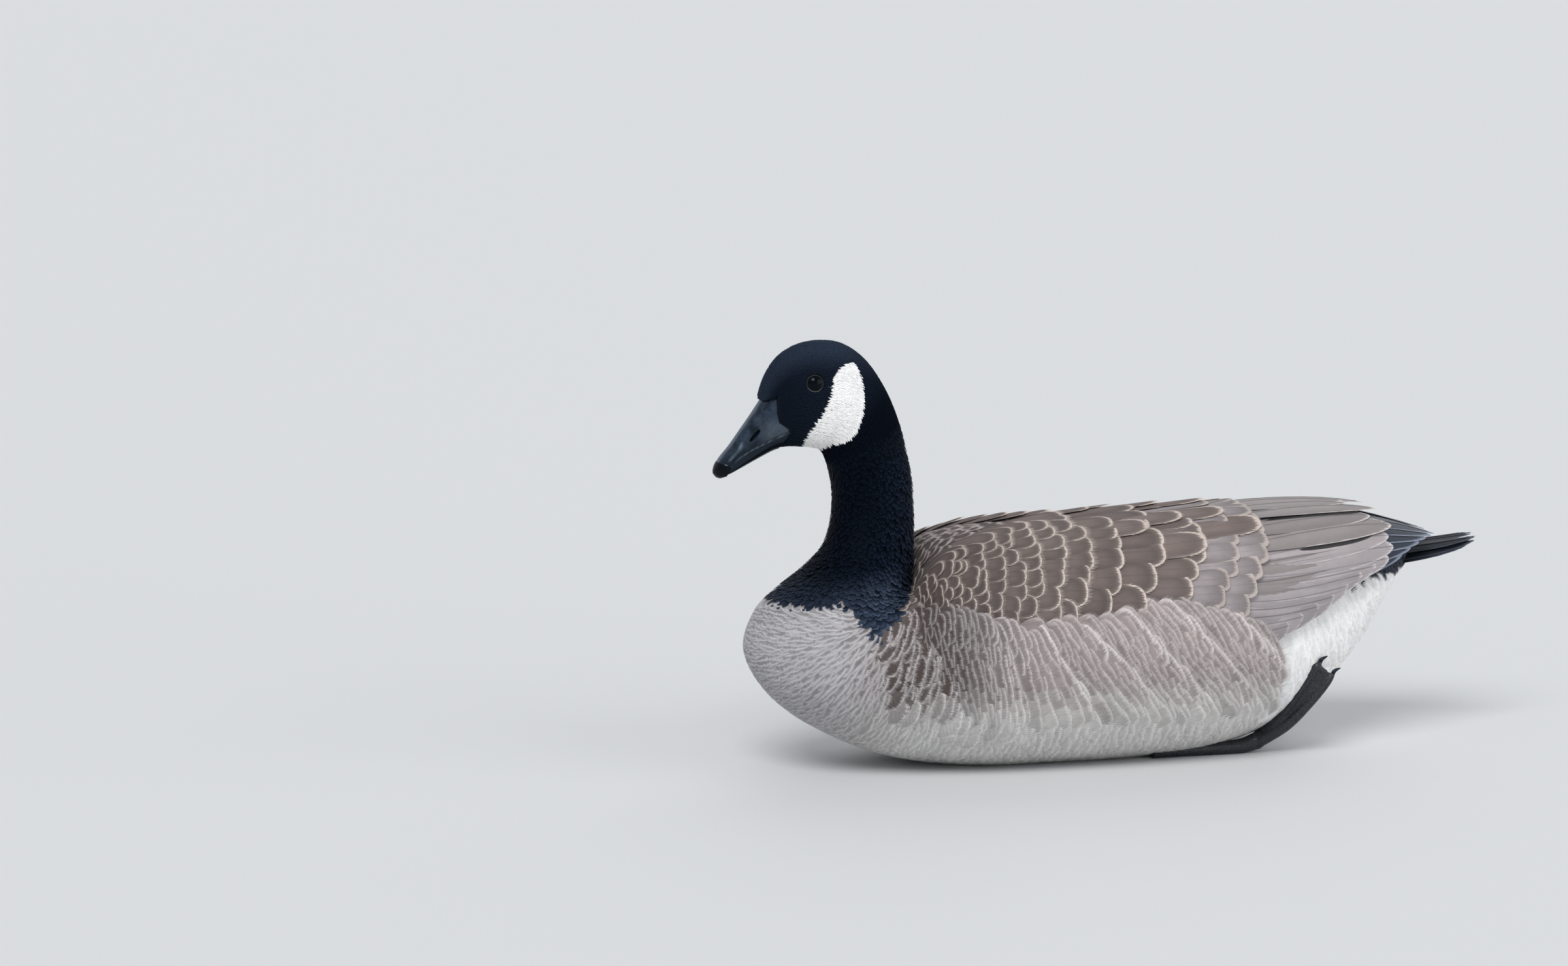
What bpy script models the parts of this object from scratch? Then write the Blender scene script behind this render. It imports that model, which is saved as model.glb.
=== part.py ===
"""Canada goose, life size, resting on its belly as it swims, feet tucked back.

The bill points along -X and the tail along +X, +Z is up, and the bird is symmetric about y = 0.
The skin is one lofted form, parted into torso, neck and head. Each wing is a thick shell on the torso
with its feathers in overlapping tiers. Lengths are metres, apart from the profiles, which are in
millimetres and scaled by MM.
"""

import math
from collections import namedtuple

import bmesh
import bpy
from mathutils import Matrix, Vector

MM = 0.001
GAP = 0.0003  # kept between pieces that touch
EYE_RADIUS = 0.0074
EYE_OPENING = 0.0058
TAIL_FEATHERS = 16
RING_POINTS = 22

# Profiles of the skin in the plane of symmetry. Each station joins a point on the back line to one on
# the belly line. half is the half width, widest the share of the way down at which it is reached, and
# upper and lower are the squareness above and below that.
Station = namedtuple("Station", "back belly half widest upper lower")
STERN_TO_NECK = (
    Station((224, 133), (224, 121), 15, 0.50, 2.0, 2.0),
    Station((214, 139), (214, 107), 25, 0.52, 1.9, 2.0),
    Station((199, 145), (201, 88), 35, 0.54, 1.8, 2.0),
    Station((176, 150), (184, 62), 47, 0.54, 1.7, 2.0),
    Station((147, 155), (157, 35), 60, 0.53, 1.65, 2.1),
    Station((112, 159), (118, 13), 76, 0.53, 1.6, 2.25),
    Station((66, 162), (68, 0.5), 89, 0.54, 1.6, 2.35),
    Station((15, 163), (14, -3.0), 94, 0.54, 1.6, 2.35),
    Station((-35, 161), (-44, -3.4), 94, 0.53, 1.65, 2.35),
    Station((-80, 156), (-103, -2.0), 91, 0.52, 1.75, 2.3),
    Station((-109, 149), (-158, 7), 85, 0.50, 1.9, 2.2),
    Station((-125, 139), (-203, 26), 78, 0.49, 2.0, 2.15),
    Station((-133, 131), (-236, 50), 70, 0.48, 2.1, 2.1),
    Station((-136.5, 128), (-254, 80), 60, 0.48, 2.1, 2.0),
    Station((-138, 130), (-248, 106), 50.5, 0.49, 2.1, 2.0),
    Station((-137.5, 137), (-233, 122), 42, 0.50, 2.1, 2.0),
)
NECK_TO_BILL = (
    Station((-136.5, 147), (-215, 136), 35, 0.50, 2.0, 2.0),
    Station((-136, 162), (-200, 151), 30, 0.50, 2.0, 2.0),
    Station((-136, 180), (-193.5, 170), 26.5, 0.50, 2.0, 2.0),
    Station((-137.5, 201), (-192.5, 191), 24.5, 0.50, 2.0, 2.0),
    Station((-141.5, 222), (-195.5, 208), 23.5, 0.50, 2.0, 2.0),
    Station((-147.5, 244), (-199.5, 218.5), 23.2, 0.52, 2.0, 2.0),
    Station((-157, 265), (-203.5, 222.5), 23.4, 0.55, 2.0, 2.1),
    Station((-170, 283.5), (-207.5, 223.5), 23.8, 0.57, 2.0, 2.2),
    Station((-186, 295), (-212, 224.5), 24, 0.58, 2.05, 2.3),
    Station((-203, 298), (-217, 225), 23.4, 0.58, 2.1, 2.3),
    Station((-219, 295.5), (-222, 225.5), 21.6, 0.56, 2.1, 2.3),
    Station((-232, 288), (-227, 225.5), 19.2, 0.54, 2.1, 2.2),
    Station((-241, 275.5), (-232, 225), 16.6, 0.52, 2.1, 2.2),
    Station((-246.5, 260), (-236.5, 223.5), 14.2, 0.50, 2.1, 2.2),
)
SKIN = STERN_TO_NECK + NECK_TO_BILL
NECK_BASE = 15.0  # place of the seams along the stations
HEAD_BASE = 20.6
SKIN_END = len(SKIN) - 1.0

# The bill: top and underside with half widths, from inside the face to the nail.
BILL = (
    Station((-233, 274), (-222, 223), 15.4, 0.52, 2.3, 2.4),
    Station((-240, 265), (-228, 224), 15.2, 0.54, 2.2, 2.4),
    Station((-246.5, 256), (-236, 222.5), 13.9, 0.55, 2.1, 2.4),
    Station((-252.5, 247.5), (-244, 219), 12.6, 0.56, 2.1, 2.4),
    Station((-260, 237.5), (-252.5, 215), 11.5, 0.58, 2.1, 2.5),
    Station((-267, 228), (-261, 211), 11.0, 0.60, 2.1, 2.6),
    Station((-272.5, 221.5), (-267.5, 208), 10.4, 0.62, 2.2, 2.6),
    Station((-276.8, 216), (-272, 206.4), 8.6, 0.62, 2.3, 2.5),
    Station((-278.9, 211.5), (-275, 205.4), 5.0, 0.60, 2.2, 2.2),
)
MOUTH_LINE = ((-222, 237.5), (-228, 236.4), (-237, 233), (-246, 229), (-255, 224.8), (-263, 219.8), (-268.6, 214.5), (-271, 209), (-271.5, 203))
FEATHER_EDGE = ((-268, 249.5), (-247.6, 257.4), (-236.8, 263.4), (-237.2, 251), (-236, 244.5), (-229.5, 240), (-228, 236.4))
CHIN_EDGE = ((-228, 236.4), (-232.5, 229), (-236, 218))
LOWER_JAW_INSET = 0.0009
NOSTRIL = (-251.5, 9.5, 236.0)
EYE_PLACE = (-212.5, 272.0)

# The outer surface of the folded wings, by x: top, height of the widest point, half width.
WING_TOP = (
    (-150, 143), (-128, 154), (-100, 161), (-60, 165), (-15, 166.5), (40, 166.5), (90, 167),
    (130, 167), (165, 165), (195, 160), (222, 151), (250, 140),
)
WING_MIDDLE = ((-150, 92), (-100, 92), (0, 93), (90, 96), (130, 102), (170, 112), (205, 121), (250, 128))
WING_HALF = (
    (-150, 73), (-120, 84), (-80, 92), (-20, 96), (50, 95), (100, 87), (140, 73), (175, 59), (205, 47), (250, 27),
)
WING_SQUARENESS = 2.15
WING_LOW_DEPTH = 70 * MM
WING_EDGE = (
    (-146, 118), (-128, 102), (-80, 96), (0, 95), (70, 93), (98, 93), (112, 108), (124, 130), (134, 175),
    (120, 200), (-120, 200), (-150, 150),
)
MANTLE_HALF = ((-160, 50), (-100, 33), (-50, 13), (-10, 2.0), (260, 2.0))  # bare back between the wings

COLOURS = {
    "black_plumage": ((0.012, 0.013, 0.017), 0.75),
    "brown_plumage": ((0.30, 0.245, 0.205), 0.8),
    "grey_plumage": ((0.42, 0.385, 0.36), 0.85),
    "bill": ((0.018, 0.022, 0.032), 0.35),
    "eye": ((0.012, 0.008, 0.006), 0.05),
    "foot": ((0.02, 0.022, 0.026), 0.5),
}


def clear_scene():
    for obj in list(bpy.data.objects):
        bpy.data.objects.remove(obj)


def material(name):
    found = bpy.data.materials.get(name)
    if found:
        return found
    made = bpy.data.materials.new(name)
    made.use_nodes = True
    shader = made.node_tree.nodes["Principled BSDF"]
    colour, roughness = COLOURS[name]
    shader.inputs["Base Color"].default_value = (*colour, 1.0)
    shader.inputs["Roughness"].default_value = roughness
    shader.inputs["Metallic"].default_value = 0.0
    return made


def object_of(bm, name, finish=None):
    mesh = bpy.data.meshes.new(name)
    bmesh.ops.recalc_face_normals(bm, faces=bm.faces)
    bm.to_mesh(mesh)
    bm.free()
    obj = bpy.data.objects.new(name, mesh)
    bpy.context.scene.collection.objects.link(obj)
    if finish:
        mesh.materials.append(material(finish))
    mesh.shade_smooth()
    mesh.set_sharp_from_angle(angle=math.radians(40))
    return obj


def curve_value(points, x):
    """Height at x of the smooth curve through the points, which are in order of x."""
    last = len(points) - 1
    i = 0
    while i < last - 1 and x > points[i + 1][0]:
        i += 1

    def slope(k):
        low, high = max(k - 1, 0), min(k + 1, last)
        return (points[high][1] - points[low][1]) / (points[high][0] - points[low][0])

    (x0, y0), (x1, y1) = points[i], points[i + 1]
    span = x1 - x0
    t = min(max((x - x0) / span, 0.0), 1.0)
    rise = t * t * (3 - 2 * t)
    bend = t * (1 - t) * span * ((1 - t) * slope(i) - t * slope(i + 1))
    return y0 + (y1 - y0) * rise + bend


def station_at(stations, place):
    """Station at a fractional place, on smooth curves through all the stations."""
    rows = [(*s.back, *s.belly, *s[2:]) for s in stations]
    values = [curve_value([(i, row[k]) for i, row in enumerate(rows)], place) for k in range(len(rows[0]))]
    return Station(tuple(values[0:2]), tuple(values[2:4]), *values[4:])


def power(value, exponent):
    return math.copysign(abs(value) ** exponent, value)


def section_point(station, angle):
    """Point of a station's section, in metres. The angle runs from the back round the +Y side to the belly."""
    back = Vector((station.back[0], 0, station.back[1])) * MM
    belly = Vector((station.belly[0], 0, station.belly[1])) * MM
    middle = back.lerp(belly, station.widest)
    cosine, sine = math.cos(angle), math.sin(angle)
    squareness = station.upper if cosine > 0 else station.lower
    reach = middle - back if cosine > 0 else belly - middle
    point = middle - reach * power(cosine, 2 / squareness)
    point.y = station.half * MM * power(sine, 2 / squareness)
    return point


def skin_point(place, angle):
    return section_point(station_at(SKIN, place), angle)


def loft(name, stations, places, finish=None, ring_points=RING_POINTS, grow=0.0, floor=None):
    """Closed form through the sections at these places, with flat ends. It may grow along its normals."""
    bm = bmesh.new()
    rings = []
    for place in places:
        station = station_at(stations, place)
        circle = bmesh.ops.create_circle(bm, cap_ends=False, radius=1.0, segments=ring_points)
        for k, vertex in enumerate(circle["verts"]):
            vertex.co = section_point(station, 2 * math.pi * k / ring_points)
            if floor is not None:
                vertex.co.z = max(vertex.co.z, floor)
        rings.append(circle["verts"])
    for low, high in zip(rings, rings[1:]):
        edges = {e for v in low + high for e in v.link_edges if len(e.link_faces) < 2}
        edges = [e for e in edges if {*e.verts} <= {*low} or {*e.verts} <= {*high}]
        bmesh.ops.bridge_loops(bm, edges=edges)
    for ring in (rings[0], rings[-1]):
        bmesh.ops.contextual_create(bm, geom=ring)
    bmesh.ops.recalc_face_normals(bm, faces=bm.faces)
    bmesh.ops.triangulate(bm, faces=bm.faces, quad_method="FIXED")
    for place, normal in [(v, v.normal.copy()) for v in bm.verts]:
        place.co += normal * grow
    return object_of(bm, name, finish)


def spaced(start, end, count):
    return [start + (end - start) * i / (count - 1) for i in range(count)]


def moved_line(points, distance):
    """The line of (x, z) points, moved sideways, to its left as it runs."""
    made = []
    for i in range(len(points)):
        before, after = Vector(points[max(i - 1, 0)]), Vector(points[min(i + 1, len(points) - 1)])
        ahead = (after - before).normalized()
        made.append((points[i][0] - ahead.y * distance, points[i][1] + ahead.x * distance))
    return made


def prism(name, outline, low_y, high_y):
    """Block with this side outline in millimetres, from low_y to high_y."""
    bm = bmesh.new()
    corners = [bm.verts.new((x * MM, low_y, z * MM)) for x, z in outline]
    face = bm.faces.new(corners)
    side = bmesh.ops.extrude_face_region(bm, geom=[face])
    moved = [v for v in side["geom"] if isinstance(v, bmesh.types.BMVert)]
    bmesh.ops.translate(bm, vec=(0, high_y - low_y, 0), verts=moved)
    bmesh.ops.triangulate(bm, faces=[f for f in bm.faces if len(f.verts) > 4])
    return object_of(bm, name)


def remove(obj):
    bpy.data.objects.remove(obj)


def boolean(obj, operation, others, solver="EXACT"):
    """Applies one Boolean of the object with the others, which are then removed."""
    tools = bpy.data.collections.new("tools")
    bpy.context.scene.collection.children.link(tools)
    for other in others:
        tools.objects.link(other)
        bpy.context.scene.collection.objects.unlink(other)
    modifier = obj.modifiers.new("join", "BOOLEAN")
    modifier.operation = operation
    modifier.operand_type = "COLLECTION"
    modifier.collection = tools
    modifier.solver = solver
    graph = bpy.context.evaluated_depsgraph_get()
    graph.update()
    mesh = bpy.data.meshes.new_from_object(obj.evaluated_get(graph))
    obj.modifiers.remove(modifier)
    obj.data = mesh
    for other in others:
        remove(other)
    bpy.data.collections.remove(tools)
    keep_largest(obj)
    return obj


def shell_volume(faces):
    total = 0.0
    for face in faces:
        first = face.verts[0].co
        for a, b in zip(face.verts[1:], face.verts[2:]):
            total += first.dot(a.co.cross(b.co))
    return total / 6


def keep_largest(obj):
    """Leaves only the largest closed surface of the mesh."""
    bm = bmesh.new()
    bm.from_mesh(obj.data)
    waiting, shells = set(bm.faces), []
    while waiting:
        stack, shell = [waiting.pop()], []
        while stack:
            face = stack.pop()
            shell.append(face)
            for edge in face.edges:
                for near in edge.link_faces:
                    if near in waiting:
                        waiting.remove(near)
                        stack.append(near)
        shells.append(shell)
    shells.sort(key=shell_volume)
    loose = [face for shell in shells[:-1] for face in shell]
    bmesh.ops.delete(bm, geom=loose, context="FACES")
    bm.to_mesh(obj.data)
    bm.free()
    obj.data.set_sharp_from_angle(angle=math.radians(40))


def mirrored(obj, name):
    """Right-hand twin of a left-hand piece."""
    twin = bpy.data.objects.new(name, obj.data)
    twin.scale.y = -1
    bpy.context.scene.collection.objects.link(twin)
    return twin


def wing_point(x, angle):
    """Point of the folded wings' outer surface on the +Y side. The angle runs from the top to the widest point."""
    x_mm = x / MM
    top, middle = curve_value(WING_TOP, x_mm) * MM, curve_value(WING_MIDDLE, x_mm) * MM
    cosine = math.cos(angle)
    height = (top - middle) if cosine > 0 else WING_LOW_DEPTH
    y = curve_value(WING_HALF, x_mm) * MM * power(math.sin(angle), 2 / WING_SQUARENESS)
    return Vector((x, y, middle + height * power(cosine, 2 / WING_SQUARENESS)))


def frame_on(surface, u, v):
    """Point, tangents and outward normal of a surface at (u, v)."""
    step = 1e-3
    point = surface(u, v)
    along_u = (surface(u + step, v) - surface(u - step, v)) / (2 * step)
    along_v = (surface(u, v + step) - surface(u, v - step)) / (2 * step)
    normal = along_u.cross(along_v).normalized()
    if normal.dot(point - Vector((point.x, 0, 0.085))) < 0:
        normal.negate()
    return point, along_u, along_v, normal


def leaf(rows, thickness):
    """Closed vane from rows of (point, normal), split alike on its two faces."""
    count, across = len(rows), len(rows[0])
    bm = bmesh.new()
    grid = bmesh.ops.create_grid(bm, x_segments=across - 1, y_segments=count - 1, size=1)
    order = sorted(grid["verts"], key=lambda v: (round(v.co.y, 5), round(v.co.x, 5)))
    normals = {}
    for k, vertex in enumerate(order):
        vertex.co, normals[k] = rows[k // across][k % across]
    bmesh.ops.triangulate(bm, faces=bm.faces, quad_method="FIXED")
    top = [vertex.co.copy() for vertex in order]
    under = bmesh.ops.extrude_face_region(bm, geom=bm.faces[:], use_keep_orig=True)
    for vertex in under["geom"]:
        if isinstance(vertex, bmesh.types.BMVert):
            k = min(range(len(top)), key=lambda i: (top[i] - vertex.co).length)
            vertex.co -= normals[k] * thickness
    return object_of(bm, "leaf")


# Outlines of a vane: share of its length, share of its width, and how far the shaft leads its edges.
ROUND_TIP = ((0.0, 0.62, 0.0), (0.55, 1.0, 0.0), (0.91, 0.74, 0.09))
LONG_TIP = ((0.0, 0.55, 0.0), (0.40, 0.95, 0.0), (0.80, 0.84, 0.0), (0.94, 0.36, 0.06))


def feather_on(surface, root, tip, width, rise, tilt, thickness, outline=ROUND_TIP, sunk=0.0012):
    """Vane that lies on a surface from root to tip, both (u, v). It leaves the surface along its length,
    from sunk below it to rise above it, and tilt lifts its lower edge over its neighbour."""
    _, side_u, side_v, _ = frame_on(surface, *root)
    rows = []
    for t, share, bulge in outline:
        row = []
        for side in (-1, 0, 1):
            reach = t + (bulge if side == 0 else 0.0)
            u = root[0] + (tip[0] - root[0]) * reach
            v = root[1] + (tip[1] - root[1]) * reach
            _, du, dv, normal = frame_on(surface, u, v)
            ahead = (du * (tip[0] - root[0]) + dv * (tip[1] - root[1])).normalized()
            across = normal.cross(ahead)
            if across.z > 0:
                across.negate()
            offset = across * (side * share * width / 2)
            move_v = offset.dot(dv) / dv.length_squared
            move_u = offset.dot(du) / du.length_squared
            point, _, _, normal = frame_on(surface, u + move_u, v + move_v)
            height = -sunk + (rise + sunk) * min(reach, 1.0) + tilt * side
            row.append((point + normal * height, normal))
        rows.append(row)
    return leaf(rows, thickness)


def covert_tiers():
    """Wing coverts: (tip x, length, angles of the feathers from the lowest up, width), rear tier first."""
    return (
        (95, 40, (85, 69, 54, 40), 27),
        (58, 38, (85, 69, 53, 38), 28),
        (31, 36, (84, 68, 52, 37), 27),
        (-3, 36, (84, 67, 51, 36), 27),
        (-32, 32, (83, 67, 52, 38), 24),
        (-58, 30, (82, 67, 52, 38), 22),
        (-82, 28, (80, 66, 52, 39), 20),
        (-104, 26, (78, 64, 51), 19),
    )


def scapular_rows():
    """Scapulars along the top of the wing: (tip x, angle, length, width)."""
    return (
        (104, 25, 74, 24), (84, 10, 80, 20), (62, 24, 60, 24), (40, 11, 60, 22), (18, 24, 50, 24),
        (0, 12, 46, 22), (-24, 25, 40, 22), (-40, 14, 40, 20), (-62, 26, 34, 20), (-88, 32, 30, 18),
    )


def secondary_vanes():
    """Long grey feathers behind the coverts, the lowest first: tip x and tip angle, root angle."""
    tips = ((118, 92), (133, 87), (147, 83), (160, 78), (171, 72), (182, 66), (192, 60), (199, 53))
    return [(tip, 88 - 6.4 * i) for i, tip in enumerate(tips)]


def primary_vanes():
    """Dark wing tips over the rump, the longest and uppermost last: tip x, angle."""
    return ((205, 40), (216, 34), (227, 28), (237, 22), (245, 16))


def wing_feathers():
    feathers = []
    surface = wing_point
    for k, (tip_x, tip_angle) in enumerate(primary_vanes()):
        root = (92 * MM, math.radians(34 - 3 * k))
        tip = (tip_x * MM, math.radians(tip_angle))
        feathers.append(feather_on(surface, root, tip, 17 * MM, (-4.6 + 0.9 * k) * MM, 0.4 * MM, 1.2 * MM, LONG_TIP, 5.0 * MM))
    for k, ((tip_x, tip_angle), root_angle) in enumerate(secondary_vanes()):
        root = (62 * MM, math.radians(root_angle))
        tip = (tip_x * MM, math.radians(tip_angle))
        feathers.append(feather_on(surface, root, tip, 19 * MM, (0.1 + 0.12 * k) * MM, 0.8 * MM, 2.4 * MM, LONG_TIP, 1.5 * MM))
    for k, (tip_x, tip_angle) in enumerate(((196, 40), (182, 29), (150, 17))):
        root = (58 * MM, math.radians(40 - 12 * k))
        tip = (tip_x * MM, math.radians(tip_angle))
        feathers.append(feather_on(surface, root, tip, 25 * MM, (1.8 + 0.6 * k) * MM, 0.8 * MM, 2.6 * MM, LONG_TIP, 1.0 * MM))
    for tip_x, length, angles, width in covert_tiers():
        for angle in angles:
            root = ((tip_x - length) * MM, math.radians(angle - 3))
            tip = (tip_x * MM, math.radians(angle))
            feathers.append(feather_on(surface, root, tip, width * MM, 2.2 * MM, 0.7 * MM, 3.4 * MM))
    for tip_x, angle, length, width in scapular_rows():
        root = ((tip_x - length) * MM, math.radians(angle + 4))
        tip = (tip_x * MM, math.radians(angle))
        feathers.append(feather_on(surface, root, tip, width * MM, 2.8 * MM, 0.6 * MM, 3.8 * MM))
    return feathers


def wing_core():
    """Thick shell of the folded wing on the +Y side, still overlapping the torso."""
    bm = bmesh.new()
    rings = []
    angles = [math.radians(a) for a in spaced(0, 100, 8)]
    for x in spaced(-152, 138, 11):
        points = [wing_point(x * MM, a) for a in angles] + [Vector((x * MM, 0, 0.06))]
        rings.append([bm.verts.new(p) for p in points])
    for low, high in zip(rings, rings[1:]):
        for k in range(len(low)):
            after = (k + 1) % len(low)
            bm.faces.new((low[k], low[after], high[after], high[k]))
    bm.faces.new(rings[0])
    bm.faces.new(rings[-1])
    return object_of(bm, "wing_core")


def mantle_block():
    """What the wing leaves bare between the shoulders, seen from above, as a block."""
    bm = bmesh.new()
    outline = [(x, half) for x, half in MANTLE_HALF] + [(260, -60), (-160, -60)]
    corners = [bm.verts.new((x * MM, y * MM, 0.0)) for x, y in outline]
    face = bm.faces.new(corners)
    upper = bmesh.ops.extrude_face_region(bm, geom=[face])
    moved = [v for v in upper["geom"] if isinstance(v, bmesh.types.BMVert)]
    bmesh.ops.translate(bm, vec=(0, 0, 0.3), verts=moved)
    bmesh.ops.triangulate(bm, faces=[f for f in bm.faces if len(f.verts) > 4])
    return object_of(bm, "mantle_block")


def torso_places():
    return spaced(0.0, NECK_BASE - 0.03, 24)


def make_torso():
    torso = loft("torso", SKIN, torso_places(), "grey_plumage", floor=0.0)
    return boolean(torso, "UNION", flank_feathers())


def flank_feathers(grow=0.0):
    """Overlapping flank feathers below each wing."""
    made = []
    for row, (angle, count) in enumerate(((96, 7), (113, 6))):
        for k in range(count):
            tip_place = 4.6 + 0.8 * k + 0.4 * row
            root = (tip_place + 0.95, math.radians(angle + 4))
            tip = (tip_place, math.radians(angle - 3))
            width, rise, thickness = 21 * MM + 2 * grow, 1.7 * MM + grow, 3.0 * MM + 2 * grow
            feather = feather_on(skin_point, root, tip, width, rise, 0.3 * MM, thickness)
            twin = mirrored_mesh(feather)
            made += [feather, twin]
    return made


def mirrored_mesh(obj):
    bm = bmesh.new()
    bm.from_mesh(obj.data)
    bmesh.ops.scale(bm, vec=(1, -1, 1), verts=bm.verts)
    bmesh.ops.reverse_faces(bm, faces=bm.faces)
    return object_of(bm, obj.name + "_twin")


def make_wing(name):
    core = boolean(wing_core(), "INTERSECT", [prism("edge", WING_EDGE, 0.0, 0.14)])
    boolean(core, "UNION", wing_feathers())
    far_side = prism("far_side", ((-300, 0), (300, 0), (300, 300), (-300, 300)), -0.1, GAP / 2)
    torso_cut = loft("torso_cut", SKIN, torso_places(), grow=GAP)
    boolean(core, "DIFFERENCE", [torso_cut, mantle_block(), far_side] + flank_feathers(GAP))
    core.data.materials.clear()
    core.data.materials.append(material("brown_plumage"))
    core.name = name
    return core


def tail_feather(index):
    """Tail feather of the fan, from -1 at one edge to 1 at the other, the middle ones on top."""
    share = 2 * index / (TAIL_FEATHERS - 1) - 1
    spread = math.radians(8.0) * share
    depth = abs(share)
    length = (0.092 - 0.008 * depth**2) * (1 if min(index, TAIL_FEATHERS - 1 - index) % 2 else 0.985)
    root = Vector((0.1872, 0.012 * share, 0.1335))
    ahead = Vector((math.cos(spread), math.sin(spread), 0.03))
    across = Vector((-math.sin(spread), math.cos(spread), 0))
    rows = []
    for t, width, bulge in ((0.0, 0.5, 0), (0.4, 0.85, 0), (0.75, 1.0, 0), (0.94, 0.72, 0.06)):
        row = []
        for side in (-1, 0, 1):
            reach = t + (bulge if side == 0 else 0)
            point = root + ahead * (length * reach) + across * (side * width * 0.0082)
            point.z += -0.0045 * (point.y / 0.025) ** 2 * reach - 0.0052 * depth * (1 - 0.35 * t)
            row.append((point, Vector((0, 0, 1))))
        rows.append(row)
    return leaf(rows, 0.0011)


def make_tail():
    feathers = [tail_feather(i) for i in range(TAIL_FEATHERS)]
    tail = feathers.pop(TAIL_FEATHERS // 2)
    root = loft("tail_root", TAIL_ROOT, spaced(0, len(TAIL_ROOT) - 1, 6), ring_points=16)
    boolean(tail, "UNION", feathers + [root], "MANIFOLD")
    boolean(tail, "DIFFERENCE", [loft("torso_cut", SKIN, torso_places(), grow=GAP)])
    tail.data.materials.clear()
    tail.data.materials.append(material("black_plumage"))
    tail.name = "tail"
    return tail


TAIL_ROOT = (
    Station((184, 143), (184, 126), 20, 0.5, 2.0, 2.0),
    Station((205, 141), (205, 122), 24, 0.5, 2.0, 2.0),
    Station((225, 138), (225, 121), 23, 0.5, 2.0, 2.0),
    Station((244, 136.5), (244, 124), 20, 0.5, 2.0, 2.0),
)


def make_bill():
    outer = 0.05
    mouth_up = moved_line(MOUTH_LINE, -0.17)
    mouth_down = moved_line(MOUTH_LINE, 0.17)
    upper = loft("bill_upper", BILL, spaced(0, len(BILL) - 1, 14), "bill", 20)
    upper_outline = list(FEATHER_EDGE[:-1]) + mouth_up[1:] + [(-300, 195), (-300, 249.5)]
    boolean(upper, "INTERSECT", [prism("upper_side", upper_outline, -outer, outer)], "MANIFOLD")
    boolean(upper, "DIFFERENCE", [nostril(side) for side in (-1, 1)])
    lower = loft("bill_lower", BILL, spaced(0, len(BILL) - 1.35, 11), "bill", 18, grow=-LOWER_JAW_INSET)
    lower_outline = mouth_down[1:] + [(-300, 190), (-240, 190)] + [CHIN_EDGE[2], CHIN_EDGE[1]]
    boolean(lower, "INTERSECT", [prism("lower_side", lower_outline, -outer, outer)], "MANIFOLD")
    return upper, lower


def nostril(side):
    bm = bmesh.new()
    bmesh.ops.create_uvsphere(bm, u_segments=12, v_segments=8, radius=1.0)
    bmesh.ops.scale(bm, vec=(0.0056, 0.0030, 0.0014), verts=bm.verts)
    bmesh.ops.rotate(bm, cent=(0, 0, 0), matrix=Matrix.Rotation(math.radians(-48), 3, "Y"), verts=bm.verts)
    bmesh.ops.translate(bm, vec=(NOSTRIL[0] * MM, side * NOSTRIL[1] * MM, NOSTRIL[2] * MM), verts=bm.verts)
    return object_of(bm, "nostril")


def eye_centre(side):
    """Centre of the eyeball, set so that it fills the opening between the lids."""
    best = min(
        (skin_point(place, math.radians(angle)) for place in spaced(23, 26, 31) for angle in range(20, 120, 2)),
        key=lambda p: (Vector((p.x, p.z)) - Vector(EYE_PLACE) * MM).length,
    )
    depth = math.sqrt(EYE_RADIUS**2 - EYE_OPENING**2)
    outward = Vector((-0.16, side * 0.98, 0.12)).normalized()
    surface = Vector((best.x, side * best.y, best.z))
    return surface - outward * (depth - 0.0003), outward


def ball(name, centre, radius, finish=None, segments=14, rings=8):
    bm = bmesh.new()
    bmesh.ops.create_uvsphere(bm, u_segments=segments, v_segments=rings, radius=radius)
    bmesh.ops.translate(bm, vec=centre, verts=bm.verts)
    return object_of(bm, name, finish)


def lid_ring(side):
    """Raised ring of the two lids round the eye."""
    centre, outward = eye_centre(side)
    bm = bmesh.new()
    circle = bmesh.ops.create_circle(bm, cap_ends=False, radius=0.0011, segments=6)
    bmesh.ops.rotate(bm, cent=(0, 0, 0), matrix=Matrix.Rotation(math.radians(90), 3, "X"), verts=circle["verts"])
    bmesh.ops.translate(bm, vec=(EYE_OPENING + 0.0007, 0, 0), verts=circle["verts"])
    bmesh.ops.spin(bm, geom=bm.edges[:], cent=(0, 0, 0), axis=(0, 0, 1), angle=math.tau, steps=14, use_merge=True)
    turn = outward.to_track_quat("Z", "Y").to_matrix()
    bmesh.ops.rotate(bm, cent=(0, 0, 0), matrix=turn, verts=bm.verts)
    depth = math.sqrt(EYE_RADIUS**2 - EYE_OPENING**2)
    bmesh.ops.translate(bm, vec=centre + outward * (depth - 0.0002), verts=bm.verts)
    return object_of(bm, "lid")


def make_head():
    head = loft("head", SKIN, spaced(HEAD_BASE + 0.012, SKIN_END, 17), "black_plumage", 24)
    boolean(head, "UNION", [lid_ring(side) for side in (-1, 1)])
    edge = moved_line(FEATHER_EDGE + CHIN_EDGE[1:], 0.4)
    face = edge + [(-240, 190), (-300, 190), (-300, 249.5)]
    sockets = [ball("socket", eye_centre(side)[0], EYE_RADIUS + GAP) for side in (-1, 1)]
    boolean(head, "DIFFERENCE", [prism("face", face, -0.05, 0.05)] + sockets)
    return head


def make_neck():
    return loft("neck", SKIN, spaced(NECK_BASE + 0.03, HEAD_BASE - 0.012, 11), "black_plumage", 24)


def make_eyes():
    for name, side in (("eye_left", -1), ("eye_right", 1)):
        ball(name, eye_centre(side)[0], EYE_RADIUS, "eye")


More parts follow.
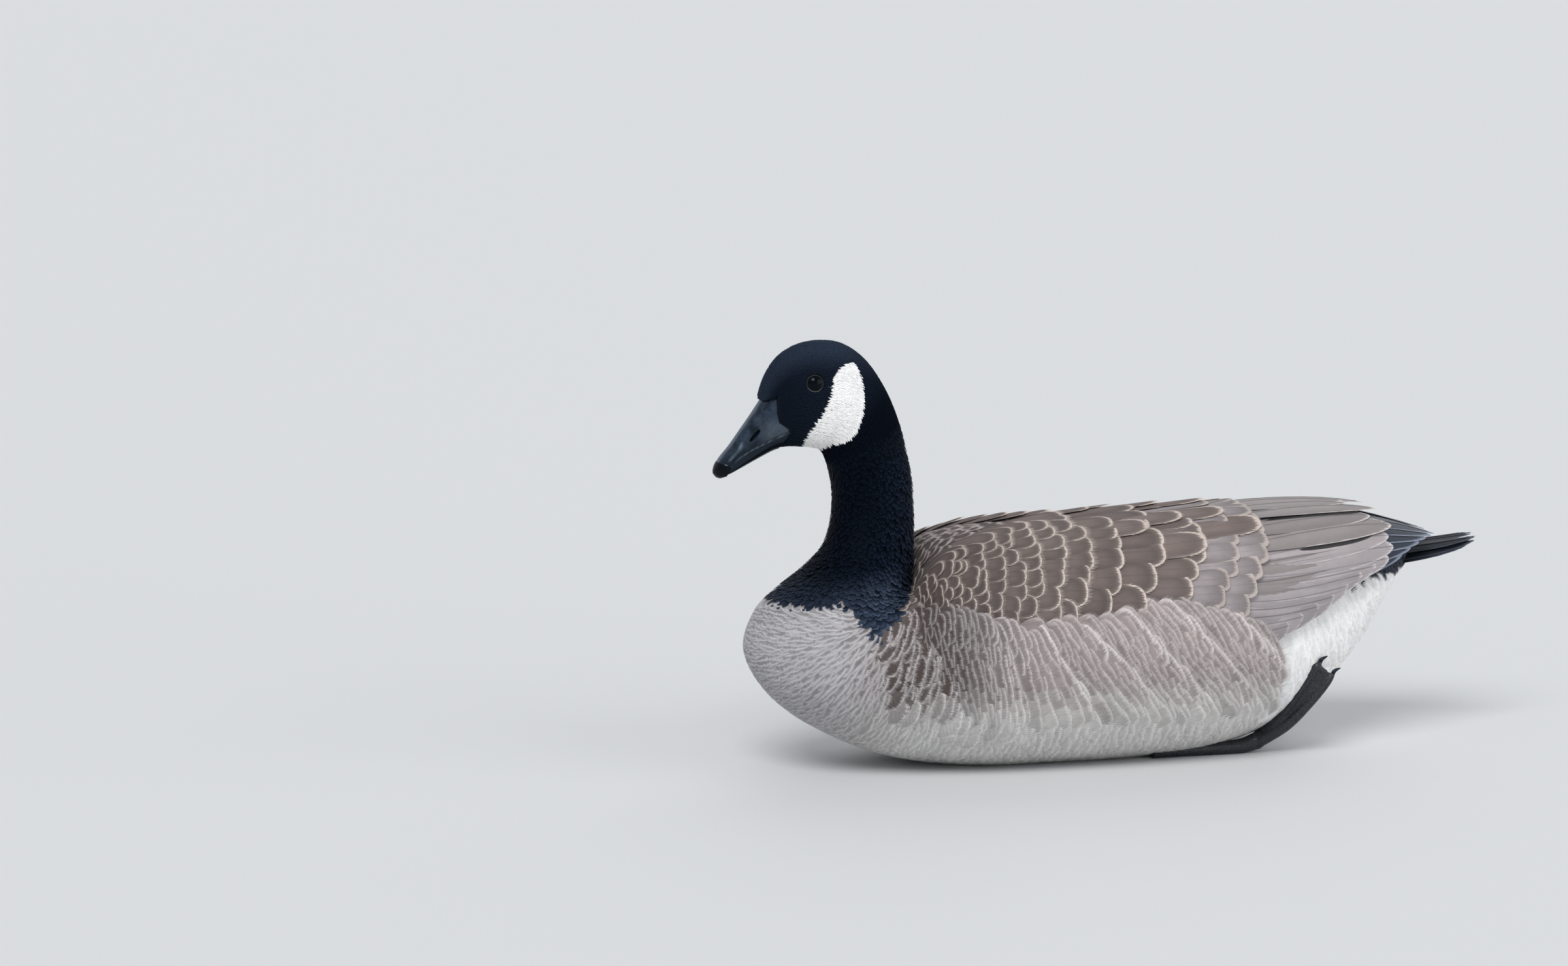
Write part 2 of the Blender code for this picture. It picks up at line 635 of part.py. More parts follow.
# Right foot, tucked back under the vent: centre line of the shank and of the closed toes, with radii.
SHANK = (((26, 43, 5.0), 5.4), ((55, 43, 4.4), 5.0), ((88, 44, 4.6), 5.2), ((104, 44.5, 8.5), 6.2))
TOES = (
    (((104, 43.5, 8.5), 4.8), ((117, 52, 24), 3.8), ((128, 59, 42), 3.4), ((138, 63.5, 58), 2.6), ((143, 64.5, 67), 1.1)),
    (((104, 47, 8.5), 4.6), ((120, 57, 20), 3.6), ((134, 64, 36), 3.2), ((146, 68, 51), 2.4), ((151, 68.5, 59), 1.1)),
    (((104, 40, 8.5), 4.4), ((113, 48, 26), 3.5), ((121, 56, 45), 3.1), ((128, 61.5, 60), 2.3), ((131, 63, 67), 1.1)),
)


def limb(name, spine, sides=8):
    """Tapering round limb along a centre line of (point, radius), in millimetres."""
    bm = bmesh.new()
    rings = []
    count = len(spine)
    for i, (point, radius) in enumerate(spine):
        before, after = Vector(spine[max(i - 1, 0)][0]), Vector(spine[min(i + 1, count - 1)][0])
        turn = (after - before).to_track_quat("Z", "Y").to_matrix()
        circle = bmesh.ops.create_circle(bm, cap_ends=False, radius=radius * MM, segments=sides)["verts"]
        bmesh.ops.rotate(bm, cent=(0, 0, 0), matrix=turn, verts=circle)
        bmesh.ops.translate(bm, vec=Vector(point) * MM, verts=circle)
        rings.append(circle)
    for low, high in zip(rings, rings[1:]):
        edges = {e for v in low + high for e in v.link_edges if len(e.link_faces) < 2}
        edges = [e for e in edges if {*e.verts} <= {*low} or {*e.verts} <= {*high}]
        bmesh.ops.bridge_loops(bm, edges=edges)
    for ring in (rings[0], rings[-1]):
        bmesh.ops.contextual_create(bm, geom=ring)
    return object_of(bm, name)


def web():
    """Folded web between the toes, a slab a little thinner than they are."""
    rows = []
    for outer, middle, inner in zip(TOES[1], TOES[0], TOES[2]):
        row = []
        for point, _ in (outer, middle, inner):
            row.append((Vector(point) * MM + Vector((0.0006, 0, 0)), Vector((0.8, 0, -0.6))))
        rows.append(row)
    return leaf(rows[:-1], 0.0014)


def make_foot(name):
    foot = limb("shank", SHANK, 10)
    boolean(foot, "UNION", [limb("toe", toe) for toe in TOES] + [web()])
    floor = prism("floor", ((-300, -50), (300, -50), (300, 0), (-300, 0)), -0.1, 0.1)
    torso = loft("torso_cut", SKIN, torso_places(), grow=GAP)
    boolean(foot, "DIFFERENCE", [floor, torso])
    foot.data.materials.clear()
    foot.data.materials.append(material("foot"))
    foot.name = name
    return foot


def main():
    clear_scene()
    make_torso()
    make_neck()
    make_head()
    make_bill()
    make_eyes()
    make_tail()
    wing = make_wing("wing_right")
    mirrored(wing, "wing_left")
    foot = make_foot("foot_right")
    mirrored(foot, "foot_left")


main()
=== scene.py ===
"""Dressed model of a Canada goose at rest, laid out as an add-on.

A skin follows the frame's torso, neck and head, and lies inside them by the depth of the coat. The coat is
laid on it in tracts: each feather is a closed vane that runs from its root to its tip along the surface it
grows from. The wings carry their own tiers. The bill, eyes, lids and feet are modelled apart.
"""

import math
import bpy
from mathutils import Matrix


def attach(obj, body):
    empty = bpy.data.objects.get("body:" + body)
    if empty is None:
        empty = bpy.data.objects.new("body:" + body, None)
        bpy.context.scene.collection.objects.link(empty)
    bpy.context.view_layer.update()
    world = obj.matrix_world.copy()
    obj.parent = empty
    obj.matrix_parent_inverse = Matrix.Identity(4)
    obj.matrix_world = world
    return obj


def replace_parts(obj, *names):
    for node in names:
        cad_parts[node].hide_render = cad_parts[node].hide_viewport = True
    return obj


bl_info = {
    "name": "Canada goose",
    "version": (1, 0, 0),
    "blender": (4, 5, 0),
    "location": "View3D > Sidebar > Goose",
    "description": "Builds the skin, feathers, bill, eyes and feet of a still goose",
    "category": "Object",
}

from collections import namedtuple

import bmesh
import bpy
import numpy as np
from mathutils import Matrix, Vector
from mathutils.kdtree import KDTree

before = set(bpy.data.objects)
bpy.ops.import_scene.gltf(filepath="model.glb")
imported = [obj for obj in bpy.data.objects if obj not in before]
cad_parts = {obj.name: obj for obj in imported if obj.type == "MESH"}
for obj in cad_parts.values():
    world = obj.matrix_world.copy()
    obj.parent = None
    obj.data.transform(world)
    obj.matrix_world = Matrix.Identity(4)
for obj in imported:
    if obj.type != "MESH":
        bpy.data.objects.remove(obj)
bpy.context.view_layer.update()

BODY = "root"
MM = 0.001
LEFT, RIGHT = -1, 1
SIDES = (("left", LEFT), ("right", RIGHT))
FLOOR_CLEARANCE = 0.15 * MM
SKIN_CLEARANCE = 0.6 * MM
BLOCK_REACH = 50 * MM  # half the depth of the blocks that cut the skin and the bill
HEAD_GIRTH = 165 * MM  # sets the number of columns of feathers on head and neck
VANE_SHARPNESS = math.radians(50)
HORN_SHARPNESS = math.radians(35)
TIP_HALF = 0.08  # least half width of a vane's tip
PATCH = 0.003  # size of one feather's patch in the bake map
WING_PATCH = (0.18, 0.18)
TAIL_PATCH = (0.22, 0.22)

# Stations of the skin, from the stern to the bill: a point on the back line and one on the belly line,
# the half width, the share of the way down at which it is reached, and the squareness above and below.
Station = namedtuple("Station", "back belly half widest upper lower")
SKIN_STATIONS = (
    Station((224, 133), (224, 121), 15, 0.50, 2.0, 2.0),
    Station((214, 139), (214, 107), 25, 0.52, 1.9, 2.0),
    Station((199, 145), (201, 88), 35, 0.54, 1.8, 2.0),
    Station((176, 150), (184, 62), 47, 0.54, 1.7, 2.0),
    Station((147, 155), (157, 35), 60, 0.53, 1.65, 2.1),
    Station((112, 159), (118, 13), 76, 0.53, 1.6, 2.25),
    Station((66, 162), (68, 0.5), 89, 0.54, 1.6, 2.35),
    Station((15, 163), (14, -3.0), 94, 0.54, 1.6, 2.35),
    Station((-35, 161), (-44, -3.4), 94, 0.53, 1.65, 2.35),
    Station((-80, 156), (-103, -2.0), 91, 0.52, 1.75, 2.3),
    Station((-109, 149), (-158, 7), 85, 0.50, 1.9, 2.2),
    Station((-125, 139), (-203, 26), 78, 0.49, 2.0, 2.15),
    Station((-133, 131), (-236, 50), 70, 0.48, 2.1, 2.1),
    Station((-136.5, 128), (-254, 80), 60, 0.48, 2.1, 2.0),
    Station((-138, 130), (-248, 106), 50.5, 0.49, 2.1, 2.0),
    Station((-137.5, 137), (-233, 122), 42, 0.50, 2.1, 2.0),
    Station((-136.5, 147), (-215, 136), 35, 0.50, 2.0, 2.0),
    Station((-136, 162), (-200, 151), 30, 0.50, 2.0, 2.0),
    Station((-136, 180), (-193.5, 170), 26.5, 0.50, 2.0, 2.0),
    Station((-137.5, 201), (-192.5, 191), 24.5, 0.50, 2.0, 2.0),
    Station((-141.5, 222), (-195.5, 208), 23.5, 0.50, 2.0, 2.0),
    Station((-147.5, 244), (-199.5, 218.5), 23.2, 0.52, 2.0, 2.0),
    Station((-157, 265), (-203.5, 222.5), 23.4, 0.55, 2.0, 2.1),
    Station((-170, 283.5), (-207.5, 223.5), 23.8, 0.57, 2.0, 2.2),
    Station((-186, 295), (-212, 224.5), 24, 0.58, 2.05, 2.3),
    Station((-203, 298), (-217, 225), 23.4, 0.58, 2.1, 2.3),
    Station((-219, 295.5), (-222, 225.5), 21.6, 0.56, 2.1, 2.3),
    Station((-232, 288), (-227, 225.5), 19.2, 0.54, 2.1, 2.2),
    Station((-241, 275.5), (-232, 225), 16.6, 0.52, 2.1, 2.2),
    Station((-246.5, 260), (-236.5, 223.5), 14.2, 0.50, 2.1, 2.2),
)
# Places on the skin, counted in stations.
FIRST_ROW = 0.12
NECK_BASE = 15.0
HEAD_BASE = 20.6
SKIN_END = len(SKIN_STATIONS) - 1.0
# Depth of the coat over the skin, by place.
COAT_DEPTH = ((0, 2.0), (3, 3.0), (12, 3.0), (15, 2.4), (20, 1.6), (23, 1.0), (29, 0.8))

# Stations of the bill, from its base to its tip.
BILL_STATIONS = (
    Station((-233, 274), (-222, 223), 15.4, 0.52, 2.3, 2.4),
    Station((-240, 265), (-228, 224), 15.2, 0.54, 2.2, 2.4),
    Station((-246.5, 256), (-236, 222.5), 13.9, 0.55, 2.1, 2.4),
    Station((-252.5, 247.5), (-244, 219), 12.6, 0.56, 2.1, 2.4),
    Station((-260, 237.5), (-252.5, 215), 11.5, 0.58, 2.1, 2.5),
    Station((-267, 228), (-261, 211), 11.0, 0.60, 2.1, 2.6),
    Station((-272.5, 221.5), (-267.5, 208), 10.4, 0.62, 2.2, 2.6),
    Station((-276.8, 216), (-272, 206.4), 8.6, 0.62, 2.3, 2.5),
    Station((-278.7, 212), (-274.8, 205.6), 5.4, 0.60, 2.2, 2.2),
    Station((-279.2, 209.6), (-276.9, 206.3), 2.0, 0.55, 2.0, 2.0),
)
# Lines of the head seen from the side, as x and z: the mouth, and the feathers' ends above and below it.
MOUTH_LINE = (
    (-222, 237.5), (-228, 236.4), (-237, 233), (-246, 229), (-255, 224.8), (-263, 219.8), (-268.6, 214.5),
    (-271, 209), (-271.5, 203),
)
FEATHER_EDGE = (
    (-268, 249.5), (-247.6, 257.4), (-236.8, 263.4), (-237.2, 251), (-236, 244.5), (-229.5, 240),
    (-228, 236.4),
)
CHIN_EDGE = ((-228, 236.4), (-232.5, 229), (-236, 218))
NOSTRIL = (-251.5, 9.5, 236.0)
NOSTRIL_HOLLOW = (Vector((-242, 245)), Vector((-258, 229.5)))
# Direction in which the bill runs into its nail, and how far along it the nail begins.
NAIL_WAY = Vector((-0.337, -0.942))
NAIL_START = -112.3
# Relief of the bill in millimetres: reach and depth of the hollow round the nostril and of the groove
# before the nail, and distance from the mouth, reach and height of the rim along it.
HOLLOW_REACH, HOLLOW_DEPTH = 3.6, 0.9
GROOVE_REACH, GROOVE_DEPTH = 0.45, 0.4
RIM_PLACE, RIM_REACH, RIM_HEIGHT = 1.2, 0.8, 0.3
EYE_PLACE = (-212.5, 272.0)
EYE_LOOK = (-0.16, 0.98, 0.12)  # the way the right eye looks
EYE_RADIUS = 7.4 * MM
EYE_OPENING = 5.5 * MM
EYE_RISE = 0.3 * MM  # how far the eye's opening stands out from the skin
LID_REACH = 7.2 * MM
LID_RADIUS = 0.36 * MM
LID_SCALLOPS = 24
LID_DEPTH = math.sqrt(EYE_RADIUS**2 - EYE_OPENING**2)  # from the eyeball's centre to its opening

# The folded wings' outer surface, by x: top, height of the widest point, half width.
WING_TOP = (
    (-154, 112), (-146, 130), (-136, 146), (-124, 157), (-100, 163.5), (-60, 166), (-15, 166.5),
    (40, 166.5), (90, 167), (130, 167), (165, 165), (195, 160), (222, 151), (250, 140),
)
WING_MIDDLE = ((-150, 92), (-100, 92), (0, 93), (90, 96), (130, 102), (170, 112), (205, 121), (250, 128))
WING_HALF = (
    (-154, 58), (-140, 73), (-120, 84), (-80, 92), (-20, 96), (50, 95), (100, 87), (140, 73), (175, 59),
    (205, 47), (250, 27),
)
WING_SQUARENESS = 2.15
# Half width of the mantle between the wings, by x.
MANTLE_HALF = ((-160, 50), (-100, 33), (-50, 13), (-10, 4), (210, 4))
# Where the flank feathers end, over the lower edge of the wing.
FLANK_TOP = (
    (-152, 114), (-136, 115), (-120, 113), (-104, 107), (-80, 104), (-46, 106), (-20, 108), (26, 114),
    (51, 109), (74, 102), (98, 91), (106, 84),
)
# Lower edge of the skin that wing and flank feathers hide, by x.
HIDDEN_EDGE = (
    (-146, 122), (-128, 112), (-80, 104), (0, 102), (70, 100), (104, 92), (132, 103), (156, 112),
    (200, 128),
)
WING_LOW_DEPTH = 70 * MM
CLUMP_WIDTH = 37.2  # millimetres of the flank's length, six lines of feathers

# Place at which the black of the neck ends, by degrees from the back.
SOCK_EDGE = (
    (0, 14.3), (34, 13.7), (44, 13.1), (52, 12.75), (60, 12.54), (70, 12.42), (80, 12.35), (87, 12.2),
    (88.5, 13.2), (91, 13.85), (95, 14.0), (105, 14.33), (121, 14.43), (142, 14.5), (180, 14.7),
)
# Outline of the white cheek: place and degrees from the back.
CHEEK_PATCH = (
    (23.65, 37), (23.86, 44), (24.13, 51), (24.28, 57), (24.3, 69), (24.24, 79), (24.31, 88), (24.43, 98),
    (24.8, 113), (25.1, 131), (25.2, 146), (25.0, 165), (24.9, 181), (21.6, 181), (22.0, 150), (21.6, 130),
    (21.42, 115), (21.52, 102), (21.78, 89), (22.11, 77), (22.41, 66), (22.72, 56), (22.98, 48),
    (23.28, 40), (23.47, 36),
)


def smooth_curve(knots, values, at):
    """Smooth curve through the values at the knots, read at every place in an array."""
    knots, values = np.asarray(knots, float), np.asarray(values, float)
    slopes = np.empty_like(values)
    slopes[1:-1] = (values[2:] - values[:-2]) / (knots[2:] - knots[:-2])
    slopes[0] = (values[1] - values[0]) / (knots[1] - knots[0])
    slopes[-1] = (values[-1] - values[-2]) / (knots[-1] - knots[-2])
    i = np.clip(np.searchsorted(knots, at, side="right") - 1, 0, len(knots) - 2)
    span = knots[i + 1] - knots[i]
    t = np.clip((at - knots[i]) / span, 0.0, 1.0)
    rise = t * t * (3 - 2 * t)
    bend = t * (1 - t) * span * ((1 - t) * slopes[i] - t * slopes[i + 1])
    return values[i] + (values[i + 1] - values[i]) * rise + bend


def profile(points, at):
    """The smooth curve through (place, value) points."""
    return smooth_curve(*np.array(points, float).T, at)


def smoothstep(low, high, value):
    """Smooth rise from 0 at low to 1 at high, or a fall where high is the lesser one."""
    t = np.clip((value - low) / (high - low), 0.0, 1.0)
    return t * t * (3 - 2 * t)


def power(value, exponent):
    """Power of the size of a value, with its sign."""
    return np.sign(value) * np.abs(value) ** exponent


class Loft:
    """Closed loft through stations, read at (place, share). The share runs once round the section, by
    length, from the back line over the right side to the belly line and back."""

    step = (1e-3, 2e-4)
    outward = -1
    tailward = -1

    def __init__(self, stations):
        self.columns = np.array([(*s.back, *s.belly, *s[2:]) for s in stations], float).T
        self.knots = np.arange(len(stations), dtype=float)
        self.places = np.linspace(0, self.knots[-1], 40 * len(stations))
        turn = np.linspace(0, 2 * math.pi, 721)
        ring = self.section(self.places[:, None], turn[None, :])
        way = np.cumsum(np.linalg.norm(np.diff(ring, axis=1), axis=2), axis=1)
        way = np.concatenate((np.zeros((len(way), 1)), way), axis=1)
        self.girth = way[:, -1]
        self.shares = np.linspace(0, 1, 361)
        self.turns = np.array([np.interp(self.shares, row / row[-1], turn) for row in way])

    def columns_at(self, place):
        """The numbers of a station, read at each place."""
        return [smooth_curve(self.knots, column, place) for column in self.columns]

    def section(self, place, turn):
        """Points of the sections, by the angle from the back line."""
        back_x, back_z, belly_x, belly_z, half, widest, upper, lower = self.columns_at(place)
        cosine, sine = np.cos(turn), np.sin(turn)
        above = cosine > 0
        shape = 2 / np.where(above, upper, lower)
        reach = np.where(above, widest, 1 - widest)
        down = widest - reach * power(cosine, shape)
        x = back_x + (belly_x - back_x) * down
        z = back_z + (belly_z - back_z) * down
        y = half * power(sine, shape)
        return np.stack(np.broadcast_arrays(x, y, z), axis=-1) * MM

    def turn(self, place, share):
        """Angle of the section at a share of the way round it."""
        share = np.mod(share, 1.0)
        p = np.clip(place / self.knots[-1], 0, 1) * (len(self.places) - 1)
        s = share * (len(self.shares) - 1)
        i = np.minimum(p.astype(int), len(self.places) - 2)
        j = np.minimum(s.astype(int), len(self.shares) - 2)
        a, b = p - i, s - j
        low = self.turns[i, j] * (1 - b) + self.turns[i, j + 1] * b
        high = self.turns[i + 1, j] * (1 - b) + self.turns[i + 1, j + 1] * b
        return low * (1 - a) + high * a

    def degrees(self, place, share):
        """Degrees from the back line, alike on both sides."""
        turn = np.degrees(self.turn(place, share))
        return np.minimum(turn, 360 - turn)

    def __call__(self, place, share):
        place, share = np.broadcast_arrays(place, share)
        return self.section(place, self.turn(place, share))

    def unwrap(self, place, share):
        return place / self.knots[-1], np.mod(share, 1.0)


class WingSurface:
    """Outer surface of the folded right wing, read at x and an angle from the top to the widest point."""

    step = (2e-4, 1e-3)
    outward = 1
    tailward = 1

    def __call__(self, x, angle):
        x, angle = np.broadcast_arrays(x, angle)
        top = profile(WING_TOP, x / MM) * MM
        middle = profile(WING_MIDDLE, x / MM) * MM
        half = profile(WING_HALF, x / MM) * MM
        cosine = np.cos(angle)
        height = np.where(cosine > 0, top - middle, WING_LOW_DEPTH)
        y = half * power(np.sin(angle), 2 / WING_SQUARENESS)
        return np.stack((x, y, middle + height * power(cosine, 2 / WING_SQUARENESS)), axis=-1)

    def unwrap(self, x, angle):
        return (x + 0.16) / 0.42, np.clip(angle / 2.0, 0, 1)


class FlankSurface:
    """The right side where skin and folded wing meet, read at (place, height): the outer one of the two."""

    step = (1e-3, 1e-4)
    outward = 1
    tailward = -1

    def __call__(self, place, height):
        place, height = np.broadcast_arrays(place, height)
        back_x, back_z, belly_x, belly_z, half, widest, upper, lower = SKIN.columns_at(place)
        down = np.clip((back_z - height / MM) / (back_z - belly_z), 0.0, 1.0)
        above = down < widest
        off = np.where(above, (widest - down) / widest, (down - widest) / (1 - widest))
        skin = half * self.rounded(off, np.where(above, upper, lower))
        x = back_x + (belly_x - back_x) * down
        middle = profile(WING_MIDDLE, x)
        high = np.where(height / MM > middle, profile(WING_TOP, x) - middle, WING_LOW_DEPTH / MM)
        wing = profile(WING_HALF, x) * self.rounded(np.abs(height / MM - middle) / high, WING_SQUARENESS)
        y = (skin**12 + wing**12) ** (1 / 12)
        return np.stack((x * MM, y * MM, height), axis=-1)

    @staticmethod
    def rounded(share, squareness):
        return (1 - np.clip(share, 0.0, 0.995) ** squareness) ** (1 / squareness)

    def unwrap(self, place, height):
        return place / SKIN.knots[-1], 0.05 + 0.4 * (1 - height / 0.17)


SKIN = Loft(SKIN_STATIONS)
WING = WingSurface()
FLANK = FlankSurface()


def frames(surface, u, v):
    """Points of a surface, its two slopes and its outward unit normals."""
    step_u, step_v = surface.step
    point = surface(u, v)
    slope_u = (surface(u + step_u, v) - surface(u - step_u, v)) / (2 * step_u)
    slope_v = (surface(u, v + step_v) - surface(u, v - step_v)) / (2 * step_v)
    normal = unit(np.cross(slope_u, slope_v) * surface.outward)
    return point, slope_u, slope_v, normal


def unit(vectors):
    length = np.linalg.norm(vectors, axis=-1, keepdims=True)
    return vectors / np.maximum(length, 1e-12)


def dot(a, b):
    return np.sum(a * b, axis=-1)


def circle(bm, sides, radius=1.0):
    """Vertices of a new ring."""
    return bmesh.ops.create_circle(bm, cap_ends=False, radius=radius, segments=sides)["verts"]


def turn_about(bm, verts, matrix):
    """Turns vertices about the origin."""
    bmesh.ops.rotate(bm, cent=(0, 0, 0), matrix=matrix, verts=verts)


def bridge(bm, rings):
    """Walls between following rings of vertices, and a face at each end."""
    for low, high in zip(rings, rings[1:]):
        edges = {e for v in low + high for e in v.link_edges if len(e.link_faces) < 2}
        edges = [e for e in edges if {*e.verts} <= {*low} or {*e.verts} <= {*high}]
        bmesh.ops.bridge_loops(bm, edges=edges)
    for ring in (rings[0], rings[-1]):
        bmesh.ops.contextual_create(bm, geom=ring)


def tube(points):
    """Closed mesh through rings of points."""
    bm = bmesh.new()
    rings = []
    for places in points:
        ring = circle(bm, len(places))
        for vertex, place in zip(ring, places):
            vertex.co = place
        rings.append(ring)
    for low, high in zip(rings, rings[1:]):
        for k in range(len(low)):
            after = (k + 1) % len(low)
            bm.faces.new((low[k], low[after], high[after], high[k]))
    for ring in (rings[0], rings[-1]):
        bmesh.ops.contextual_create(bm, geom=ring)
    return bm


def placed(name, mesh, materials):
    """Object of a mesh, shaded smooth."""
    obj = bpy.data.objects.new(name, mesh)
    bpy.context.scene.collection.objects.link(obj)
    for item in materials:
        mesh.materials.append(item)
    mesh.shade_smooth()
    return obj


def finished(bm, name, materials=()):
    """Object of a bmesh, with its faces turned outward."""
    mesh = bpy.data.meshes.new(name)
    bmesh.ops.recalc_face_normals(bm, faces=bm.faces)
    bm.to_mesh(mesh)
    bm.free()
    return placed(name, mesh, materials)


def set_colours(mesh, name, colours):
    """Gives every vertex its colour, as an attribute."""
    colours = np.concatenate((colours, np.ones((len(colours), 1))), axis=1).astype(np.float32)
    mesh.attributes.new(name, "FLOAT_COLOR", "POINT").data.foreach_set("color", colours.reshape(-1))


def set_map(mesh, name, spots, corners):
    """Gives every corner of a face the spot of its vertex, as a UV map."""
    layer = mesh.uv_layers.new(name=name)
    layer.uv.foreach_set("vector", spots[corners].astype(np.float32).reshape(-1))


class Form:
    """Shape of one vane: a flattened tube that widens from its root, keeps its width and rounds off at its
    tip. Strands fray the tip, and a shaft may run along the middle."""

    def __init__(self, root, widest, squareness, rings, sides, thickness, strands=0, fray=0.0, shaft=0.0):
        self.widest, self.squareness = widest, squareness
        bm = bmesh.new()
        side = bm.verts.layers.float.new("side")
        steps = np.linspace(0, widest, rings[0])
        body = [(t, root + (1 - root) * math.sin(t / widest * math.pi / 2)) for t in steps]
        tip = [widest + (1 - widest) * math.sin(k / rings[1] * math.pi / 2) for k in range(1, rings[1] + 1)]
        body += [(t, max(self.oval((t - widest) / (1 - widest)), TIP_HALF)) for t in tip]
        made = []
        for along, half in body:
            ring = circle(bm, sides)
            for vertex in ring:
                x, z = vertex.co.x, vertex.co.y
                vertex[side] = x
                vertex.co = (x * half, along, z * thickness / 2)
            made.append(ring)
        bridge(bm, made)
        for k in range(strands):
            self.strand(bm, side, k, strands, thickness, fray)
        if shaft:
            self.add_shaft(bm, side, thickness, shaft)
        bmesh.ops.recalc_face_normals(bm, faces=bm.faces)
        bmesh.ops.triangulate(bm, faces=bm.faces)
        bm.verts.index_update()
        self.across = np.array([v.co.x for v in bm.verts])
        self.along = np.array([v.co.y for v in bm.verts])
        self.height = np.array([v.co.z for v in bm.verts])
        self.side = np.array([v[side] for v in bm.verts])
        self.faces = np.array([[v.index for v in f.verts] for f in bm.faces])
        bm.free()

    def oval(self, share):
        """Height of the tip's rounded outline at a share of its half width, and the other way round."""
        return max(1 - abs(share) ** self.squareness, 0.0) ** (1 / self.squareness)

    def strand(self, bm, side, k, strands, thickness, fray):
        """One strand past the rounded tip."""
        share = (2 * (k + 0.5) / strands - 1) * 0.96
        edge = self.widest + (1 - self.widest) * self.oval(share)
        reach = fray * (0.65 + 0.35 * math.sin(7.3 * k + 1.1) ** 2) * (1 - 0.35 * share**2)
        cone = bmesh.ops.create_cone(bm, cap_ends=True, segments=3, radius1=1.0, radius2=0.0, depth=1.0)
        for vertex in cone["verts"]:
            x, z, out = vertex.co.x, vertex.co.y, vertex.co.z + 0.5
            vertex[side] = 0.98
            vertex.co = (
                share + x * 0.7 / strands + out * fray * (0.6 * share + 0.25 * math.sin(5.1 * k)),
                edge - 0.05 + out * (reach + 0.05),
                z * thickness / 3,
            )

    def add_shaft(self, bm, side, thickness, shaft):
        """Thin shaft along the middle of the upper face."""
        rings = []
        for along in np.linspace(0.02, 0.97, 12):
            ring = circle(bm, 5)
            for vertex in ring:
                x, z = vertex.co.x * (1 - 0.7 * along), vertex.co.y * (1 - 0.5 * along)
                vertex[side] = 0.0
                vertex.co = (x * shaft, along, (0.5 + z) * thickness)
            rings.append(ring)
        bridge(bm, rings)


def lay(surface, form, root, tip, width, rise, sunk, arch, tilt):
    """Points of every vane, each from root to tip on a surface. A vane leaves it from sunk below it to rise
    above it, arch lifts its middle, and tilt its lower edge."""
    run = (tip - root)[:, :, None]
    u = root[:, :1] + run[:, 0] * form.along
    v = root[:, 1:] + run[:, 1] * form.along
    _, slope_u, slope_v, normal = frames(surface, u, v)
    ahead = unit(slope_u * run[:, 0, :, None] + slope_v * run[:, 1, :, None])
    across = np.cross(ahead, normal)
    offset = across * (form.across * width[:, None] / 2)[..., None]
    a, b = dot(offset, slope_u), dot(offset, slope_v)
    uu, vv, uv = dot(slope_u, slope_u), dot(slope_v, slope_v), dot(slope_u, slope_v)
    spread = np.maximum(uu * vv - uv * uv, 1e-18)
    point, _, _, normal = frames(surface, u + (a * vv - b * uv) / spread, v + (b * uu - a * uv) / spread)
    lower = -np.sign(across[:, :1, 2] + 1e-9)
    side = np.clip(form.across, -1, 1)
    height = -sunk[:, None] + (rise + sunk)[:, None] * form.along + form.height
    height = height + arch[:, None] * (1 - side**2) * np.clip(form.along * 2, 0, 1)
    height = height + tilt[:, None] * side * lower
    made = point + normal * height[..., None]
    made[..., 2] = np.maximum(made[..., 2], FLOOR_CLEARANCE)
    return made


class Coat:
    """Many vanes joined into one mesh from arrays, with their colours and maps."""

    def __init__(self):
        self.points, self.faces, self.vane, self.bake, self.tint, self.rim = [], [], [], [], [], []
        self.count = 0

    def add(self, form, points, tint, rim, centres, patch=(PATCH, PATCH), side=RIGHT):
        """Adds vanes of one form, mirrored for the left side."""
        total, each = points.shape[:2]
        points = points.copy()
        points[..., 1] *= side
        faces = form.faces if side == RIGHT else form.faces[:, ::-1]
        starts = self.count + np.arange(total)[:, None, None] * each
        self.points.append(points.reshape(-1, 3))
        self.faces.append((faces[None] + starts).reshape(-1, 3))
        local = np.stack((0.5 + 0.5 * form.across, form.along), axis=-1)
        self.vane.append(np.tile(local, (total, 1)))
        spot = np.stack((0.5 * form.across, np.clip(form.along, 0, 1.2) - 0.5), axis=-1)
        spot = spot * np.array(patch) * 0.8
        self.bake.append((centres[:, None, :] + spot[None]).reshape(-1, 2))
        self.tint.append(np.repeat(tint, each, axis=0))
        self.rim.append(np.repeat(rim, each, axis=0))
        self.count += total * each

    def build(self, name, material):
        """The object of all vanes, which rides with the bird."""
        points, faces = np.concatenate(self.points), np.concatenate(self.faces)
        mesh = bpy.data.meshes.new(name)
        mesh.from_pydata(points.tolist(), [], faces.tolist())
        corners = faces.reshape(-1)
        for label, values in (("Vane", self.vane), ("OFBake", self.bake)):
            set_map(mesh, label, np.concatenate(values), corners)
        for label, values in (("Tint", self.tint), ("Rim", self.rim)):
            set_colours(mesh, label, np.concatenate(values))
        obj = placed(name, mesh, [material])
        mesh.set_sharp_from_angle(angle=VANE_SHARPNESS)
        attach(obj, BODY)
        return obj


